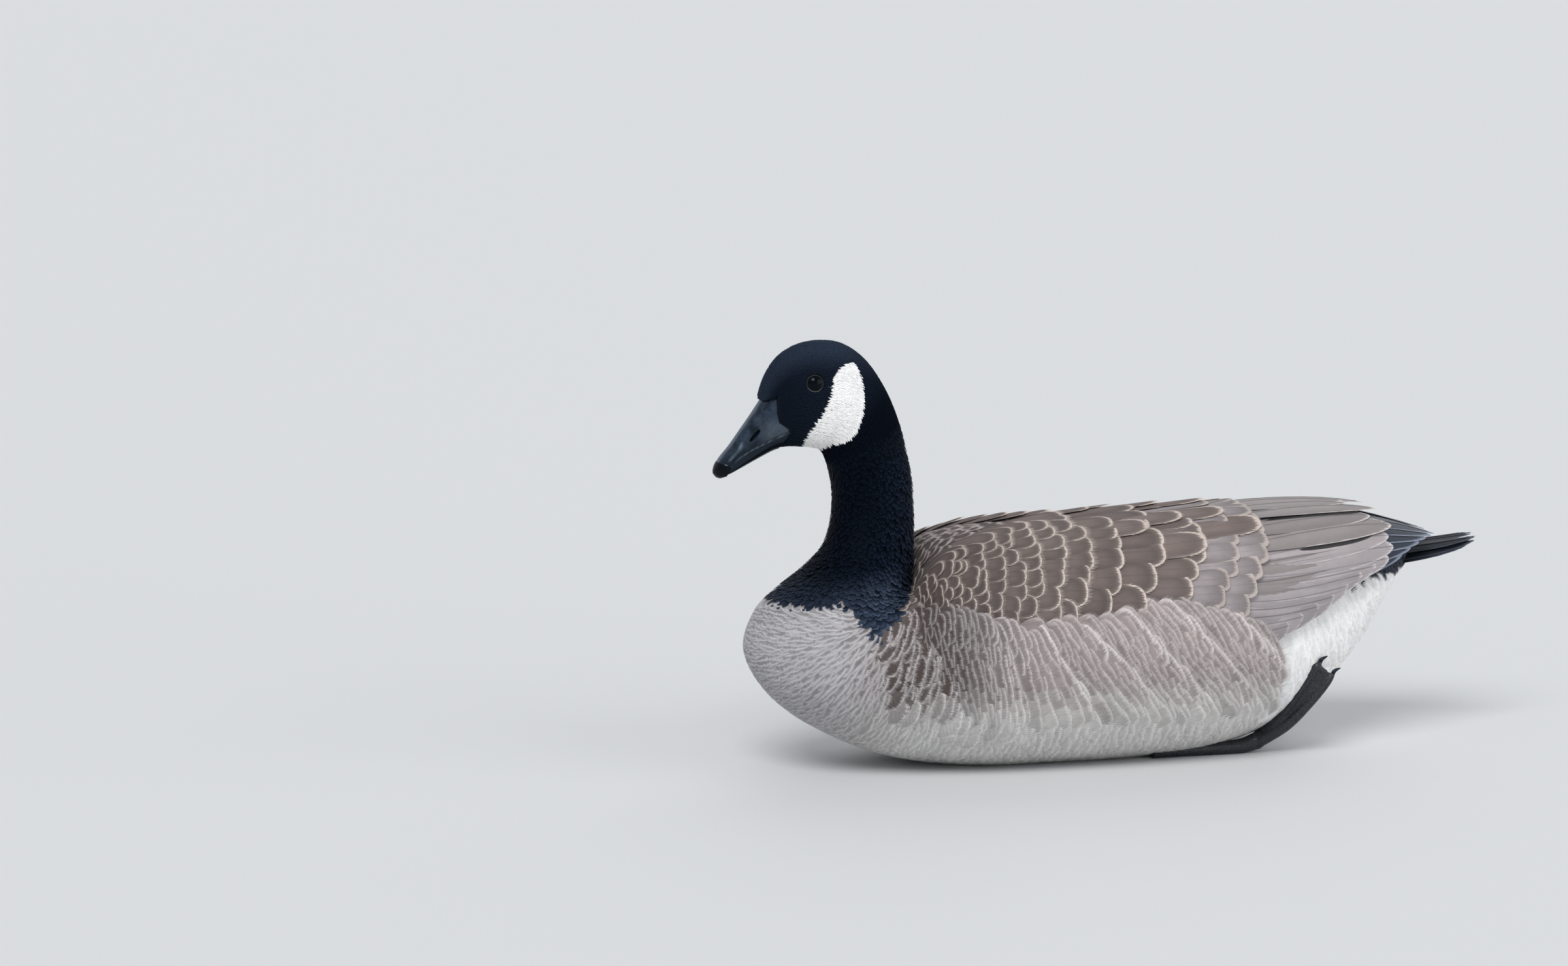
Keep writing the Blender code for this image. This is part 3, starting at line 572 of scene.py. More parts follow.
def lattice(surface, start, end, columns, spacing, rng, jitter=0.16, stagger=0.5):
    """Roots in staggered rows: columns run along the surface, and spacing(u, v) is kept along each."""
    roots = []
    for k in range(columns):
        v = (k + 0.5) / columns
        u = np.linspace(start, end, 500)
        points = surface(u, np.full_like(u, v))
        steps = np.linalg.norm(np.diff(points, axis=0), axis=1)
        middle = (u[1:] + u[:-1]) / 2
        way = np.concatenate(([0.0], np.cumsum(steps / spacing(middle, v))))
        marks = np.arange(0.25 + stagger * (k % 2), way[-1], 1.0)
        marks = marks + rng.normal(0, jitter, len(marks))
        found = np.interp(marks, way, u)
        spread = rng.normal(0, jitter * 0.6, len(marks)) / columns
        roots.append(np.stack((found, v + spread), axis=1))
    return np.concatenate(roots)


def gap_between(surface, roots, columns):
    """Distance from one column to the next at each root."""
    _, _, slope_v, _ = frames(surface, roots[:, 0], roots[:, 1])
    return np.linalg.norm(slope_v, axis=1) / columns


def tips_of(surface, roots, length, turn):
    """Tips of vanes that point tailward, turned by an angle towards larger v."""
    _, slope_u, slope_v, _ = frames(surface, roots[:, 0], roots[:, 1])
    reach_u = surface.tailward * np.cos(turn) * length / np.linalg.norm(slope_u, axis=1)
    reach_v = np.sin(turn) * length / np.linalg.norm(slope_v, axis=1)
    return roots + np.stack((reach_u, reach_v), axis=1)


def cover(coat, surface, form, roots, tips, width, rise, sunk, arch, tilt, tint, rim, side=RIGHT):
    """Lays a vane from each root to its tip."""
    if len(roots) == 0:
        return
    sizes = [size * np.ones(len(roots)) for size in (width, rise, sunk, arch, tilt)]
    points = lay(surface, form, roots, tips, *sizes)
    centres = np.stack(surface.unwrap(roots[:, 0], roots[:, 1]), axis=1)
    if side == LEFT:
        centres[:, 1] = 1 - centres[:, 1]
    coat.add(form, points, tint, rim, centres, side=side)


def lay_one(coat, surface, form, root, tip, sizes, tint, rim, index, cells, patch, side=RIGHT):
    """Lays one large vane in its own cell of the bake map, with its width, rise, sink, arch and tilt in
    millimetres."""
    rows = [np.array([size * MM]) for size in sizes]
    points = lay(surface, form, np.array([root]), np.array([tip]), *rows)
    centre = np.array([((index % cells + 0.5) / cells, (index // cells + 0.5) / cells)])
    coat.add(form, points, np.array([tint]), np.array([rim]), centre, patch=patch, side=side)


def inside(outline, a, b):
    """Whether each point (a, b) lies inside a closed outline."""
    found = np.zeros(a.shape, bool)
    for (a0, b0), (a1, b1) in zip(outline, outline[1:] + outline[:1]):
        crosses = (b0 > b) != (b1 > b)
        with np.errstate(divide="ignore", invalid="ignore"):
            where = a0 + (b - b0) / (b1 - b0) * (a1 - a0) if b1 != b0 else np.full(a.shape, np.inf)
        found ^= crosses & (a < where)
    return found


PLUMAGE = {
    # base of the vane, and its edge
    # Painted sheen: the bluish edge of the black vanes.
    "black": ((0.0006, 0.0013, 0.0036), (0.0065, 0.0105, 0.021)),
    # Painted sheen: the black plumage made lighter and bluish, as reflected sky light.
    "black_sheen": ((0.019, 0.028, 0.048), (0.050, 0.068, 0.105)),
    "white": ((0.88, 0.875, 0.87), (0.94, 0.935, 0.93)),
    "breast": ((0.30, 0.287, 0.295), (0.50, 0.49, 0.505)),
    "side": ((0.086, 0.067, 0.062), (0.44, 0.405, 0.405)),
    "flank": ((0.34, 0.296, 0.286), (0.66, 0.605, 0.60)),
    "belly": ((0.60, 0.585, 0.57), (0.70, 0.69, 0.675)),
    "mantle": ((0.13, 0.106, 0.100), (0.46, 0.40, 0.38)),
    "covert": ((0.142, 0.111, 0.103), (0.60, 0.51, 0.46)),
    "secondary": ((0.365, 0.33, 0.34), (0.52, 0.485, 0.49)),
    "tertial": ((0.27, 0.24, 0.24), (0.60, 0.55, 0.53)),
    # Painted highlight: the light bluish edges of the primaries.
    "primary": ((0.0075, 0.0095, 0.015), (0.20, 0.225, 0.285)),
    "shadow": ((0.035, 0.032, 0.034), (0.05, 0.047, 0.05)),
    "tail": ((0.0025, 0.0034, 0.0056), (0.05, 0.06, 0.08)),
}


# Bluish gloss of the black plumage.
BLACK_GLOSS = {
    "specular_ior_level": 0.05,
    "specular_tint": (0.45, 0.68, 1.0, 1.0),
    "sheen_weight": 0.02,
    "sheen_roughness": 0.4,
    "sheen_tint": (0.5, 0.7, 1.0, 1.0),
}
DARK_TINT = (0.6, 0.75, 1.0, 1.0)
HAIRS_ACROSS = 46  # hairs at the edge of one vane


def blend(a, b, share):
    share = np.asarray(share)[..., None]
    return a * (1 - share) + b * share


def markings(place, share, rng=None, ragged=1.0):
    """Colour of the plumage at each place on the skin: (base, edge). A random draw frays the borders."""
    degrees = SKIN.degrees(place, share)
    point = SKIN(place, share) / MM
    noise = np.zeros((3, *place.shape))
    if rng is not None:
        noise = np.clip(rng.normal(0, 1, noise.shape), -1.8, 1.8) * ragged
    x, z = point[..., 0], point[..., 2]
    pair = []
    for k in (0, 1):
        colour = {name: np.array(both[k]) for name, both in PLUMAGE.items()}
        made = blend(colour["breast"], colour["side"], smoothstep(-212, -168, x))
        made = blend(made, colour["flank"], smoothstep(-135, -75, x))
        made = blend(made, colour["mantle"], smoothstep(76, 50, degrees) * smoothstep(13.9, 13.0, place))
        low = smoothstep(68, 32, z + 5 * noise[2])
        made = blend(made, colour["belly"], low * smoothstep(-230, -150, x))
        rear = smoothstep(97, 106, x + 3 * noise[0])
        made = blend(made, colour["white"], rear)
        dark = (x > 150) & (z > 114 + 0.1 * (x - 176) + noise[1])
        dark |= (x > 98) & (z > 136) & (degrees < 75)
        made = np.where(dark[..., None], colour["tail"], made)
        sock = np.interp(degrees, *np.array(SOCK_EDGE).T)
        black = place + 0.07 * noise[1] > sock
        # Painted sheen: the black is blended towards the bluish sheen colour, most on top of the head, a
        # quarter over the rest of the head, and on the sides and front of the lower neck.
        painted_sheen = smoothstep(75, 20, degrees) * smoothstep(21.5, 24.5, place)
        painted_sheen = np.maximum(painted_sheen, 0.25 * smoothstep(21.5, 23.0, place))
        painted_sheen = painted_sheen + 0.8 * smoothstep(16.4, 14.4, place) * smoothstep(30, 80, degrees)
        made = np.where(black[..., None], blend(colour["black"], colour["black_sheen"], painted_sheen), made)
        patch = inside(CHEEK_PATCH, place + 0.022 * noise[1], degrees + 0.6 * noise[2])
        made = np.where(patch[..., None], colour["white"], made)
        pair.append(made)
    return pair


class Node:
    """Socket of a shader, so that maths on sockets reads as an expression."""

    def __init__(self, graph, socket):
        self.graph, self.socket = graph, socket

    def maths(self, operation, *others):
        return self.graph.add("ShaderNodeMath", {"operation": operation}, [self, *others])

    def __add__(self, other):
        return self.maths("ADD", other)

    def __sub__(self, other):
        return self.maths("SUBTRACT", other)

    def __mul__(self, other):
        return self.maths("MULTIPLY", other)

    def __truediv__(self, other):
        return self.maths("DIVIDE", other)

    def __rsub__(self, other):
        return self.graph.add("ShaderNodeMath", {"operation": "SUBTRACT"}, [other, self])

    __radd__, __rmul__ = __add__, __mul__

    def step(self, low, high):
        """Smooth rise from 0 at low to 1 at high."""
        settings = {"interpolation_type": "SMOOTHSTEP"}
        return self.graph.add("ShaderNodeMapRange", settings, [self, low, high, 0.0, 1.0])


class Graph:
    """Node tree of one material."""

    def __init__(self, name, roughness, **fixed):
        self.material = bpy.data.materials.new(name)
        self.material.use_nodes = True
        self.tree = self.material.node_tree
        self.shader = self.tree.nodes["Principled BSDF"]
        self.shader.inputs["Roughness"].default_value = roughness
        for socket, value in fixed.items():
            self.shader.inputs[socket.replace("_", " ").title().replace("Ior", "IOR")].default_value = value

    def add(self, kind, settings=None, inputs=(), output=0):
        """A node of a kind, with its settings first and then the values or links of its sockets."""
        node = self.tree.nodes.new(kind)
        for setting, value in (settings or {}).items():
            setattr(node, setting, value)
        pairs = inputs.items() if isinstance(inputs, dict) else enumerate(inputs)
        for key, value in pairs:
            self.feed(node.inputs[key], value)
        return Node(self, node.outputs[output])

    def feed(self, socket, value):
        if isinstance(value, Node):
            self.tree.links.new(value.socket, socket)
        elif isinstance(value, tuple) and len(value) == 3 and len(socket.default_value) == 4:
            socket.default_value = (*value, 1.0)
        else:
            socket.default_value = value

    def attribute(self, name):
        return self.add("ShaderNodeAttribute", {"attribute_name": name})

    def map(self, name):
        """The two numbers of a UV map, and a third that is always 0."""
        return self.split(self.add("ShaderNodeUVMap", {"uv_map": name}))

    def split(self, vector):
        node = self.tree.nodes.new("ShaderNodeSeparateXYZ")
        self.feed(node.inputs[0], vector)
        return [Node(self, socket) for socket in node.outputs]

    def join(self, *values):
        return self.add("ShaderNodeCombineXYZ", None, values)

    def place(self):
        """Position in the object's own frame, in metres."""
        return self.add("ShaderNodeTexCoord", output=3)

    def noise(self, scale, detail=3.0, vector=None):
        inputs = {"Vector": vector or self.place(), "Scale": scale, "Detail": detail, "Roughness": 0.6}
        return self.add("ShaderNodeTexNoise", None, inputs)

    def cells(self, feature, scale):
        """Cells scattered over the surface."""
        return self.add(
            "ShaderNodeTexVoronoi", {"feature": feature}, {"Vector": self.place(), "Scale": scale}
        )

    def mix(self, factor, a, b):
        """Colour a turned into colour b by a factor."""
        node = self.tree.nodes.new("ShaderNodeMix")
        node.data_type = "RGBA"
        # This node has sockets for numbers, vectors and colours. These are the ones for colours.
        for key, value in ((0, factor), (6, a), (7, b)):
            self.feed(node.inputs[key], value)
        return Node(self, node.outputs[2])

    def shade(self, colour, factor):
        """A colour made lighter or darker by a factor."""
        node = self.tree.nodes.new("ShaderNodeVectorMath")
        node.operation = "SCALE"
        self.feed(node.inputs[0], colour)
        self.feed(node.inputs["Scale"], factor)
        return Node(self, node.outputs[0])

    def colour(self, value):
        self.feed(self.shader.inputs["Base Color"], value)

    def roughness(self, value):
        self.feed(self.shader.inputs["Roughness"], value)

    def bump(self, height, strength, distance):
        normal = self.add(
            "ShaderNodeBump", None, {"Strength": strength, "Distance": distance, "Height": height}
        )
        self.feed(self.shader.inputs["Normal"], normal)


def vane_material(
    name, form, barbs, roughness, rim=(0.84, 0.97), shaft=0.0, contrast=0.2, dusk=0.25, fringe=0.16,
    end=(0.55, 0.9), warm=0.0, **fixed
):
    """Feather vanes: barbs slant from the shaft, the vane darkens towards its edge, and the edge itself is
    pale. The fringe says how far the pale edge breaks up into hairs."""
    graph = Graph(name, roughness, **fixed)
    across, along, _ = graph.map("Vane")
    side = (across - 0.5).maths("ABSOLUTE") * 2
    past = (along - form.widest).maths("MAXIMUM", 0.0) / (1 - form.widest)
    border = side.maths("POWER", form.squareness) + past.maths("POWER", form.squareness)
    border = border.maths("POWER", 1 / form.squareness)
    x, _, z = graph.split(graph.place())
    hair = graph.noise(1.0, 2.0, vector=graph.join(across * HAIRS_ACROSS, along * 3.5 + x * 60, z * 60))
    edge = (border + (hair - 0.5) * fringe).step(*rim) * along.step(*end)
    slant = (along * barbs - side * barbs * 0.3) * (2 * math.pi)
    comb = slant.maths("SINE") * 0.5 + 0.5
    cloud = graph.noise(60.0, 3.0)
    tone = 1.0 - border.step(0.2, 0.85) * dusk - comb * contrast * 0.4
    tone = tone + (cloud + hair - 1.0) * contrast * 1.4
    base = graph.shade(graph.attribute("Tint"), tone)
    if warm:
        base = graph.mix(border.step(0.7, 0.92) * warm, base, graph.shade(graph.attribute("Rim"), 0.4))
    shown = graph.mix(edge, base, graph.attribute("Rim"))
    if shaft:
        quill = (1.0 - side.step(0.015, 0.05)) * shaft
        shown = graph.mix(quill, shown, graph.shade(graph.attribute("Tint"), 0.4))
    graph.colour(shown)
    graph.bump(comb * 0.5 + hair * 0.5, 0.5, 0.2 * MM)
    return graph.material


class GooseSettings(bpy.types.PropertyGroup):
    """Settings of the bird"""

    head_spacing: bpy.props.FloatProperty(
        name="Head feather spacing", description="Distance between the short feathers of the head",
        default=1.18 * MM, min=1e-3, unit="LENGTH",
    )
    neck_spacing: bpy.props.FloatProperty(
        name="Neck feather spacing", description="Distance between the feathers of the neck",
        default=2.3 * MM, min=1e-3, unit="LENGTH",
    )
    bill_colour: bpy.props.FloatVectorProperty(
        name="Bill", description="Colour of the horn of the bill", subtype="COLOR", size=3,
        default=(0.0105, 0.0165, 0.028),
    )
    iris_colour: bpy.props.FloatVectorProperty(
        name="Iris", description="Colour round the pupil", subtype="COLOR", size=3,
        default=(0.0016, 0.0013, 0.0016),
    )
    foot_colour: bpy.props.FloatVectorProperty(
        name="Feet", description="Colour of the scutes", subtype="COLOR", size=3,
        default=(0.0075, 0.009, 0.012),
    )
    seed: bpy.props.IntProperty(name="Seed", description="Seed of every random draw", default=7, min=0)


class StageSettings(bpy.types.PropertyGroup):
    """Settings of the camera and the floor"""

    azimuth: bpy.props.FloatProperty(
        name="Azimuth", description="Turn of the camera round the bird", default=math.radians(-17.5),
        subtype="ANGLE",
    )
    elevation: bpy.props.FloatProperty(
        name="Elevation", description="Height of the camera above the horizon", default=math.radians(10.0),
        subtype="ANGLE",
    )
    distance: bpy.props.FloatProperty(
        name="Distance", description="From the camera to the point it looks at", default=9.0, unit="LENGTH",
    )
    view_width: bpy.props.FloatProperty(
        name="View width", description="Width of the view at the bird", default=1.0909, unit="LENGTH",
    )
    floor_colour: bpy.props.FloatVectorProperty(
        name="Floor", description="Colour of the plain floor", subtype="COLOR", size=3,
        default=(0.63, 0.64, 0.65),
    )


class GOOSE_OT_skin(bpy.types.Operator):
    """One skin over torso, neck and head, inside them by the depth of the coat"""

    bl_idname = "goose.skin"
    bl_label = "Skin"

    def execute(self, context):
        rings, around = 430, 144
        places = np.interp(np.linspace(0, 1, rings), [0, 0.5, 0.72, 1], [0, NECK_BASE, 21, SKIN_END])
        shares = np.arange(around) / around
        u, v = np.meshgrid(places, shares, indexing="ij")
        point, _, _, normal = frames(SKIN, u, v)
        point = point - normal * profile(COAT_DEPTH, u)[..., None] * MM
        point[..., 2] = np.maximum(point[..., 2], SKIN_CLEARANCE)
        graph = Graph("skin_plumage", 0.9, specular_ior_level=0.08)
        graph.colour(graph.shade(graph.attribute("Tint"), graph.noise(400.0) * 0.5 + 0.6))
        graph.bump(graph.noise(1500.0), 0.5, 0.3 * MM)
        skin = finished(tube(point), "skin", [graph.material])
        cut(skin, [prism("face", face_outline(0.15))])
        paint_skin(skin)
        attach(skin, BODY)
        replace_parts(skin, "torso", "neck", "head")
        return {"FINISHED"}


def nearest_on_skin(points):
    """Place and share of the skin nearest each point."""
    u, v = np.meshgrid(np.linspace(0, SKIN_END, 300), np.arange(180) / 180, indexing="ij")
    grid = SKIN(u, v).reshape(-1, 3)
    tree = KDTree(len(grid))
    for k, place in enumerate(grid):
        tree.insert(place, k)
    tree.balance()
    found = np.array([tree.find(p)[1] for p in points])
    return u.reshape(-1)[found], v.reshape(-1)[found]


def paint_skin(skin):
    """Gives the skin the markings of the plumage and its bake map."""
    mesh = skin.data
    points = np.array([v.co for v in mesh.vertices])
    place, share = nearest_on_skin(points)
    base, _ = markings(place, share)
    set_colours(mesh, "Tint", base)
    corners = np.array([loop.vertex_index for loop in mesh.loops])
    set_map(mesh, "OFBake", np.stack(SKIN.unwrap(place, share), axis=1), corners)


def moved_line(points, distance):
    """The line of (x, z) points, moved sideways, to its left as it runs."""
    made = []
    for i in range(len(points)):
        before, after = Vector(points[max(i - 1, 0)]), Vector(points[min(i + 1, len(points) - 1)])
        ahead = (after - before).normalized()
        made.append((points[i][0] - ahead.y * distance, points[i][1] + ahead.x * distance))
    return made


def face_outline(margin):
    """Side outline of the bill and all before it, with a margin over the feathers."""
    return moved_line(FEATHER_EDGE + CHIN_EDGE[1:], margin) + [(-240, 190), (-300, 190), (-300, 249.5)]


def prism(name, outline):
    """Block right across the head with this side outline, in millimetres."""
    bm = bmesh.new()
    face = bm.faces.new([bm.verts.new((x * MM, -BLOCK_REACH, z * MM)) for x, z in outline])
    side = bmesh.ops.extrude_face_region(bm, geom=[face])
    moved = [v for v in side["geom"] if isinstance(v, bmesh.types.BMVert)]
    bmesh.ops.translate(bm, vec=(0, 2 * BLOCK_REACH, 0), verts=moved)
    return finished(bm, name)


def apply_modifiers(obj):
    """Puts what the modifiers make in place of the mesh."""
    graph = bpy.context.evaluated_depsgraph_get()
    graph.update()
    mesh = bpy.data.meshes.new_from_object(obj.evaluated_get(graph))
    obj.modifiers.clear()
    obj.data = mesh


def cut(obj, tools, operation="DIFFERENCE"):
    """Applies one Boolean with the tools, which are then removed."""
    for tool in tools:
        modifier = obj.modifiers.new("cut", "BOOLEAN")
        modifier.operation, modifier.object, modifier.solver = operation, tool, "EXACT"
    apply_modifiers(obj)
    for tool in tools:
        bpy.data.objects.remove(tool)


def draw(settings, offset):
    """Random draws of one step."""
    return np.random.default_rng(settings.seed * 100 + offset)


def varied(colour, rng, amount):
    """Colours made lighter or darker at random."""
    return colour * (1 + rng.normal(0, amount, (len(colour), 1)))


def beside_bill(roots):
    """Whether each root lies on feathers, clear of the bill's base."""
    point = SKIN(roots[:, 0], roots[:, 1]) / MM
    return ~inside(face_outline(0.8), point[:, 0], point[:, 2])


def eye_centre(side):
    """Centre of the eyeball and the way it looks."""
    u, v = np.meshgrid(np.linspace(23, 26, 61), np.linspace(0.05, 0.35, 121), indexing="ij")
    points = SKIN(u, v).reshape(-1, 3)
    best = points[np.argmin(np.hypot(points[:, 0] - EYE_PLACE[0] * MM, points[:, 2] - EYE_PLACE[1] * MM))]
    outward = Vector((EYE_LOOK[0], side * EYE_LOOK[1], EYE_LOOK[2])).normalized()
    return Vector((best[0], side * best[1], best[2])) - outward * (LID_DEPTH - EYE_RISE), outward


def clear_of_eye(roots):
    """Whether each root lies outside the lids."""
    point = SKIN(roots[:, 0], roots[:, 1])
    keep = np.ones(len(roots), bool)
    for _, side in SIDES:
        centre, _ = eye_centre(side)
        keep &= np.linalg.norm(point - np.array(centre), axis=1) > LID_REACH
    return keep


def under_wing(point):
    """Whether each point of the skin, in millimetres, lies under a folded wing or its flank feathers."""
    x, z = point[:, 0], point[:, 2]
    return (x > -118) & (x < 206) & (z > np.interp(x, *np.array(HIDDEN_EDGE).T))


class GOOSE_OT_head_feathers(bpy.types.Operator):
    """Short velvety feathers of the head and the upper neck"""

    bl_idname = "goose.head_feathers"
    bl_label = "Head feathers"

    def execute(self, context):
        settings = context.scene.goose
        rng = draw(settings, 1)
        form = Form(0.6, 0.5, 2.0, (2, 1), 3, 0.22 * MM)
        material = vane_material(
            "short_plumage", form, 2.0, 0.6, rim=(0.5, 1.0), contrast=0.2, dusk=0.0, **BLACK_GLOSS,
        )
        spacing = settings.head_spacing
        columns = int(HEAD_GIRTH / spacing)
        roots = lattice(SKIN, SKIN_END - 0.02, HEAD_BASE, columns, lambda u, v: spacing * 0.9, rng)
        roots = roots[beside_bill(roots) & clear_of_eye(roots)]
        across = gap_between(SKIN, roots, columns)
        count = len(roots)
        face = smoothstep(24.0, 27.5, roots[:, 0])
        length = (4.2 - 1.8 * face) * MM * rng.uniform(0.8, 1.2, count)
        tips = tips_of(SKIN, roots, length, rng.normal(0, 0.12, count))
        tint, rim = markings(*(roots * 0.2 + tips * 0.8).T, rng, 0.8)
        coat = Coat()
        cover(
            coat, SKIN, form, roots, tips, across * 1.35, 0.1 * MM, 0.7 * MM, 0.0, 0.0,
            varied(tint, rng, 0.05), varied(rim, rng, 0.08),
        )
        coat.build("head_feathers", material)
        return {"FINISHED"}


class GOOSE_OT_neck_feathers(bpy.types.Operator):
    """Narrow black feathers of the neck, down to the breast"""

    bl_idname = "goose.neck_feathers"
    bl_label = "Neck feathers"

    def execute(self, context):
        settings = context.scene.goose
        rng = draw(settings, 2)
        form = Form(0.5, 0.5, 1.7, (2, 2), 4, 0.3 * MM)
        material = vane_material(
            "neck_plumage", form, 3.0, 0.5, rim=(0.35, 1.0), contrast=0.3, dusk=0.0, **BLACK_GLOSS,
        )
        columns = int(HEAD_GIRTH / settings.neck_spacing)
        roots = lattice(SKIN, HEAD_BASE + 0.4, 11.9, columns, lambda u, v: 2.7 * MM, rng)
        count = len(roots)
        degrees = SKIN.degrees(roots[:, 0], roots[:, 1])
        low = smoothstep(19.5, 15.5, roots[:, 0])
        nape = smoothstep(120, 40, degrees) * smoothstep(21.5, 19.0, roots[:, 0])
        length = (6.0 + 2.0 * nape + 3.0 * low) * MM * rng.uniform(0.8, 1.2, count)
        tips = tips_of(SKIN, roots, length, rng.normal(0, 0.09, count))
        tint, rim = markings(*(roots * 0.3 + tips * 0.7).T, rng, 0.8)
        across = gap_between(SKIN, roots, columns)
        rise = (0.1 + 0.2 * low + 0.9 * nape * rng.uniform(0.1, 1.1, count)) * MM
        black = tint[:, 0] < 0.03
        coat = Coat()
        rows = (roots, tips, across * (1.3 + 0.3 * nape), rise, (1.2 + 0.7 * low) * MM)
        rows = [values[black] for values in rows]
        # Painted highlights: the bluish edges of the black feathers are lighter on the nape, up to twice as
        # light at random, and half as light elsewhere.
        rim = rim * (0.5 + 1.6 * nape * rng.uniform(0.2, 1.0, count))[:, None]
        cover(coat, SKIN, form, *rows, 0.15 * MM, 0.0, varied(tint[black], rng, 0.25), rim[black])
        coat.build("neck_feathers", material)
        return {"FINISHED"}


# Tracts of the body: columns round the girth, distance between rows by place, length in rows, width in
# columns, rise, sink, thickness and arch in millimetres, strands of the tip and their reach, the share of
# the vane that is pale, its contrast, the squareness of the tip and how far columns are staggered.
Tract = namedtuple(
    "Tract",
    "columns rows length width rise sunk thickness arch strands fray rim contrast squareness stagger",
)
TRACTS = {
    "breast": Tract(
        78, ((3, 4.4), (10, 4.4), (12, 3.8), (15, 2.8)), 3.2, 2.8, 0.25, 1.3, 0.16, 0.10, 15, 0.17,
        (0.62, 1.0), 0.2, 2.8, 0.16,
    ),
    "belly": Tract(
        66, ((3, 6.0), (10, 6.0), (13, 5.0)), 3.0, 2.6, 0.25, 1.4, 0.16, 0.10, 13, 0.18, (0.6, 1.05), 0.10,
        2.6, 0.3,
    ),
    "vent": Tract(
        72, ((0, 3.5), (2, 4.5), (4, 6.0)), 3.8, 2.8, 0.15, 1.2, 0.14, 0.06, 13, 0.14, (0.6, 1.05), 0.04,
        2.6, 0.4,
    ),
    "side": Tract(
        42, ((5, 8.0), (9, 6.8), (11, 5.4), (14, 3.6)), 3.6, 2.3, 0.9, 1.9, 0.22, 0.3, 33, 0.13,
        (0.78, 1.0), 0.25, 3.2, 0.2,
    ),
    "mantle": Tract(
        84, ((9, 7.0), (11, 5.0), (13, 3.8), (14.4, 3.0)), 2.8, 2.0, 0.5, 1.8, 0.25, 0.2, 13, 0.14,
        (0.74, 0.98), 0.25, 2.4, 0.5,
    ),
}


def tract_of(roots):
    """Name of the tract that each root belongs to, and none where the wings cover it."""
    point = SKIN(roots[:, 0], roots[:, 1]) / MM
    degrees = SKIN.degrees(roots[:, 0], roots[:, 1])
    x, z = point[:, 0], point[:, 2]
    names = np.full(len(roots), "side", dtype="U8")
    names[x < -186] = "breast"
    names[x > -105] = np.where(z[x > -105] > 66, "flank", "belly")
    names[(degrees < 62) & (x < -90)] = "mantle"
    names[z < 30] = "belly"
    names[(z < 52) & (x < -150) & (x > -215)] = "breast"
    names[x > 97] = "vent"
    names[under_wing(point)] = "none"
    return names


class GOOSE_OT_body_feathers(bpy.types.Operator):
    """Fringed feathers of breast, belly, sides, mantle and vent"""

    bl_idname = "goose.body_feathers"
    bl_label = "Body feathers"

    def execute(self, context):
        for k, (name, tract) in enumerate(TRACTS.items()):
            rng = draw(context.scene.goose, 10 + k)
            sides = 8 if tract.strands > 20 else 4
            form = Form(
                0.5, 0.5, tract.squareness, (3, 3), sides, tract.thickness * MM, strands=tract.strands,
                fray=tract.fray,
            )
            material = vane_material(
                name + "_plumage", form, 8.0, 0.9, rim=tract.rim, contrast=tract.contrast, dusk=0.15,
                fringe=0.5, specular_ior_level=0.3,
            )

            def spacing(u, v):
                return profile(tract.rows, u) * MM

            roots = lattice(
                SKIN, NECK_BASE, FIRST_ROW, tract.columns, spacing, rng, jitter=0.12, stagger=tract.stagger
            )
            roots = roots[tract_of(roots) == name]
            across = gap_between(SKIN, roots, tract.columns)
            count = len(roots)
            x = SKIN(roots[:, 0], roots[:, 1])[:, 0] / MM
            lower = np.where(roots[:, 1] < 0.5, 1, -1)
            turn = rng.normal(0, 0.09, count)
            if name == "side":
                turn += lower * 0.35 * smoothstep(-150, -60, x)
            length = spacing(roots[:, 0], 0) * tract.length * rng.uniform(0.88, 1.12, count)
            tips = tips_of(SKIN, roots, length, turn)
            tint, rim = markings(*(roots * 0.2 + tips * 0.8).T, rng, 0.6)
            pale = (tint[:, 0] > 0.03) | (x > 100)
            rise = tract.rise * MM * rng.uniform(0.7, 1.3, count)
            coat = Coat()
            cover(
                coat, SKIN, form, roots[pale], tips[pale], across[pale] * tract.width, rise[pale],
                tract.sunk * MM, tract.arch * MM, 0.0, varied(tint[pale], rng, 0.05),
                varied(rim[pale], rng, 0.05),
            )
            coat.build(name + "_feathers", material)
        return {"FINISHED"}


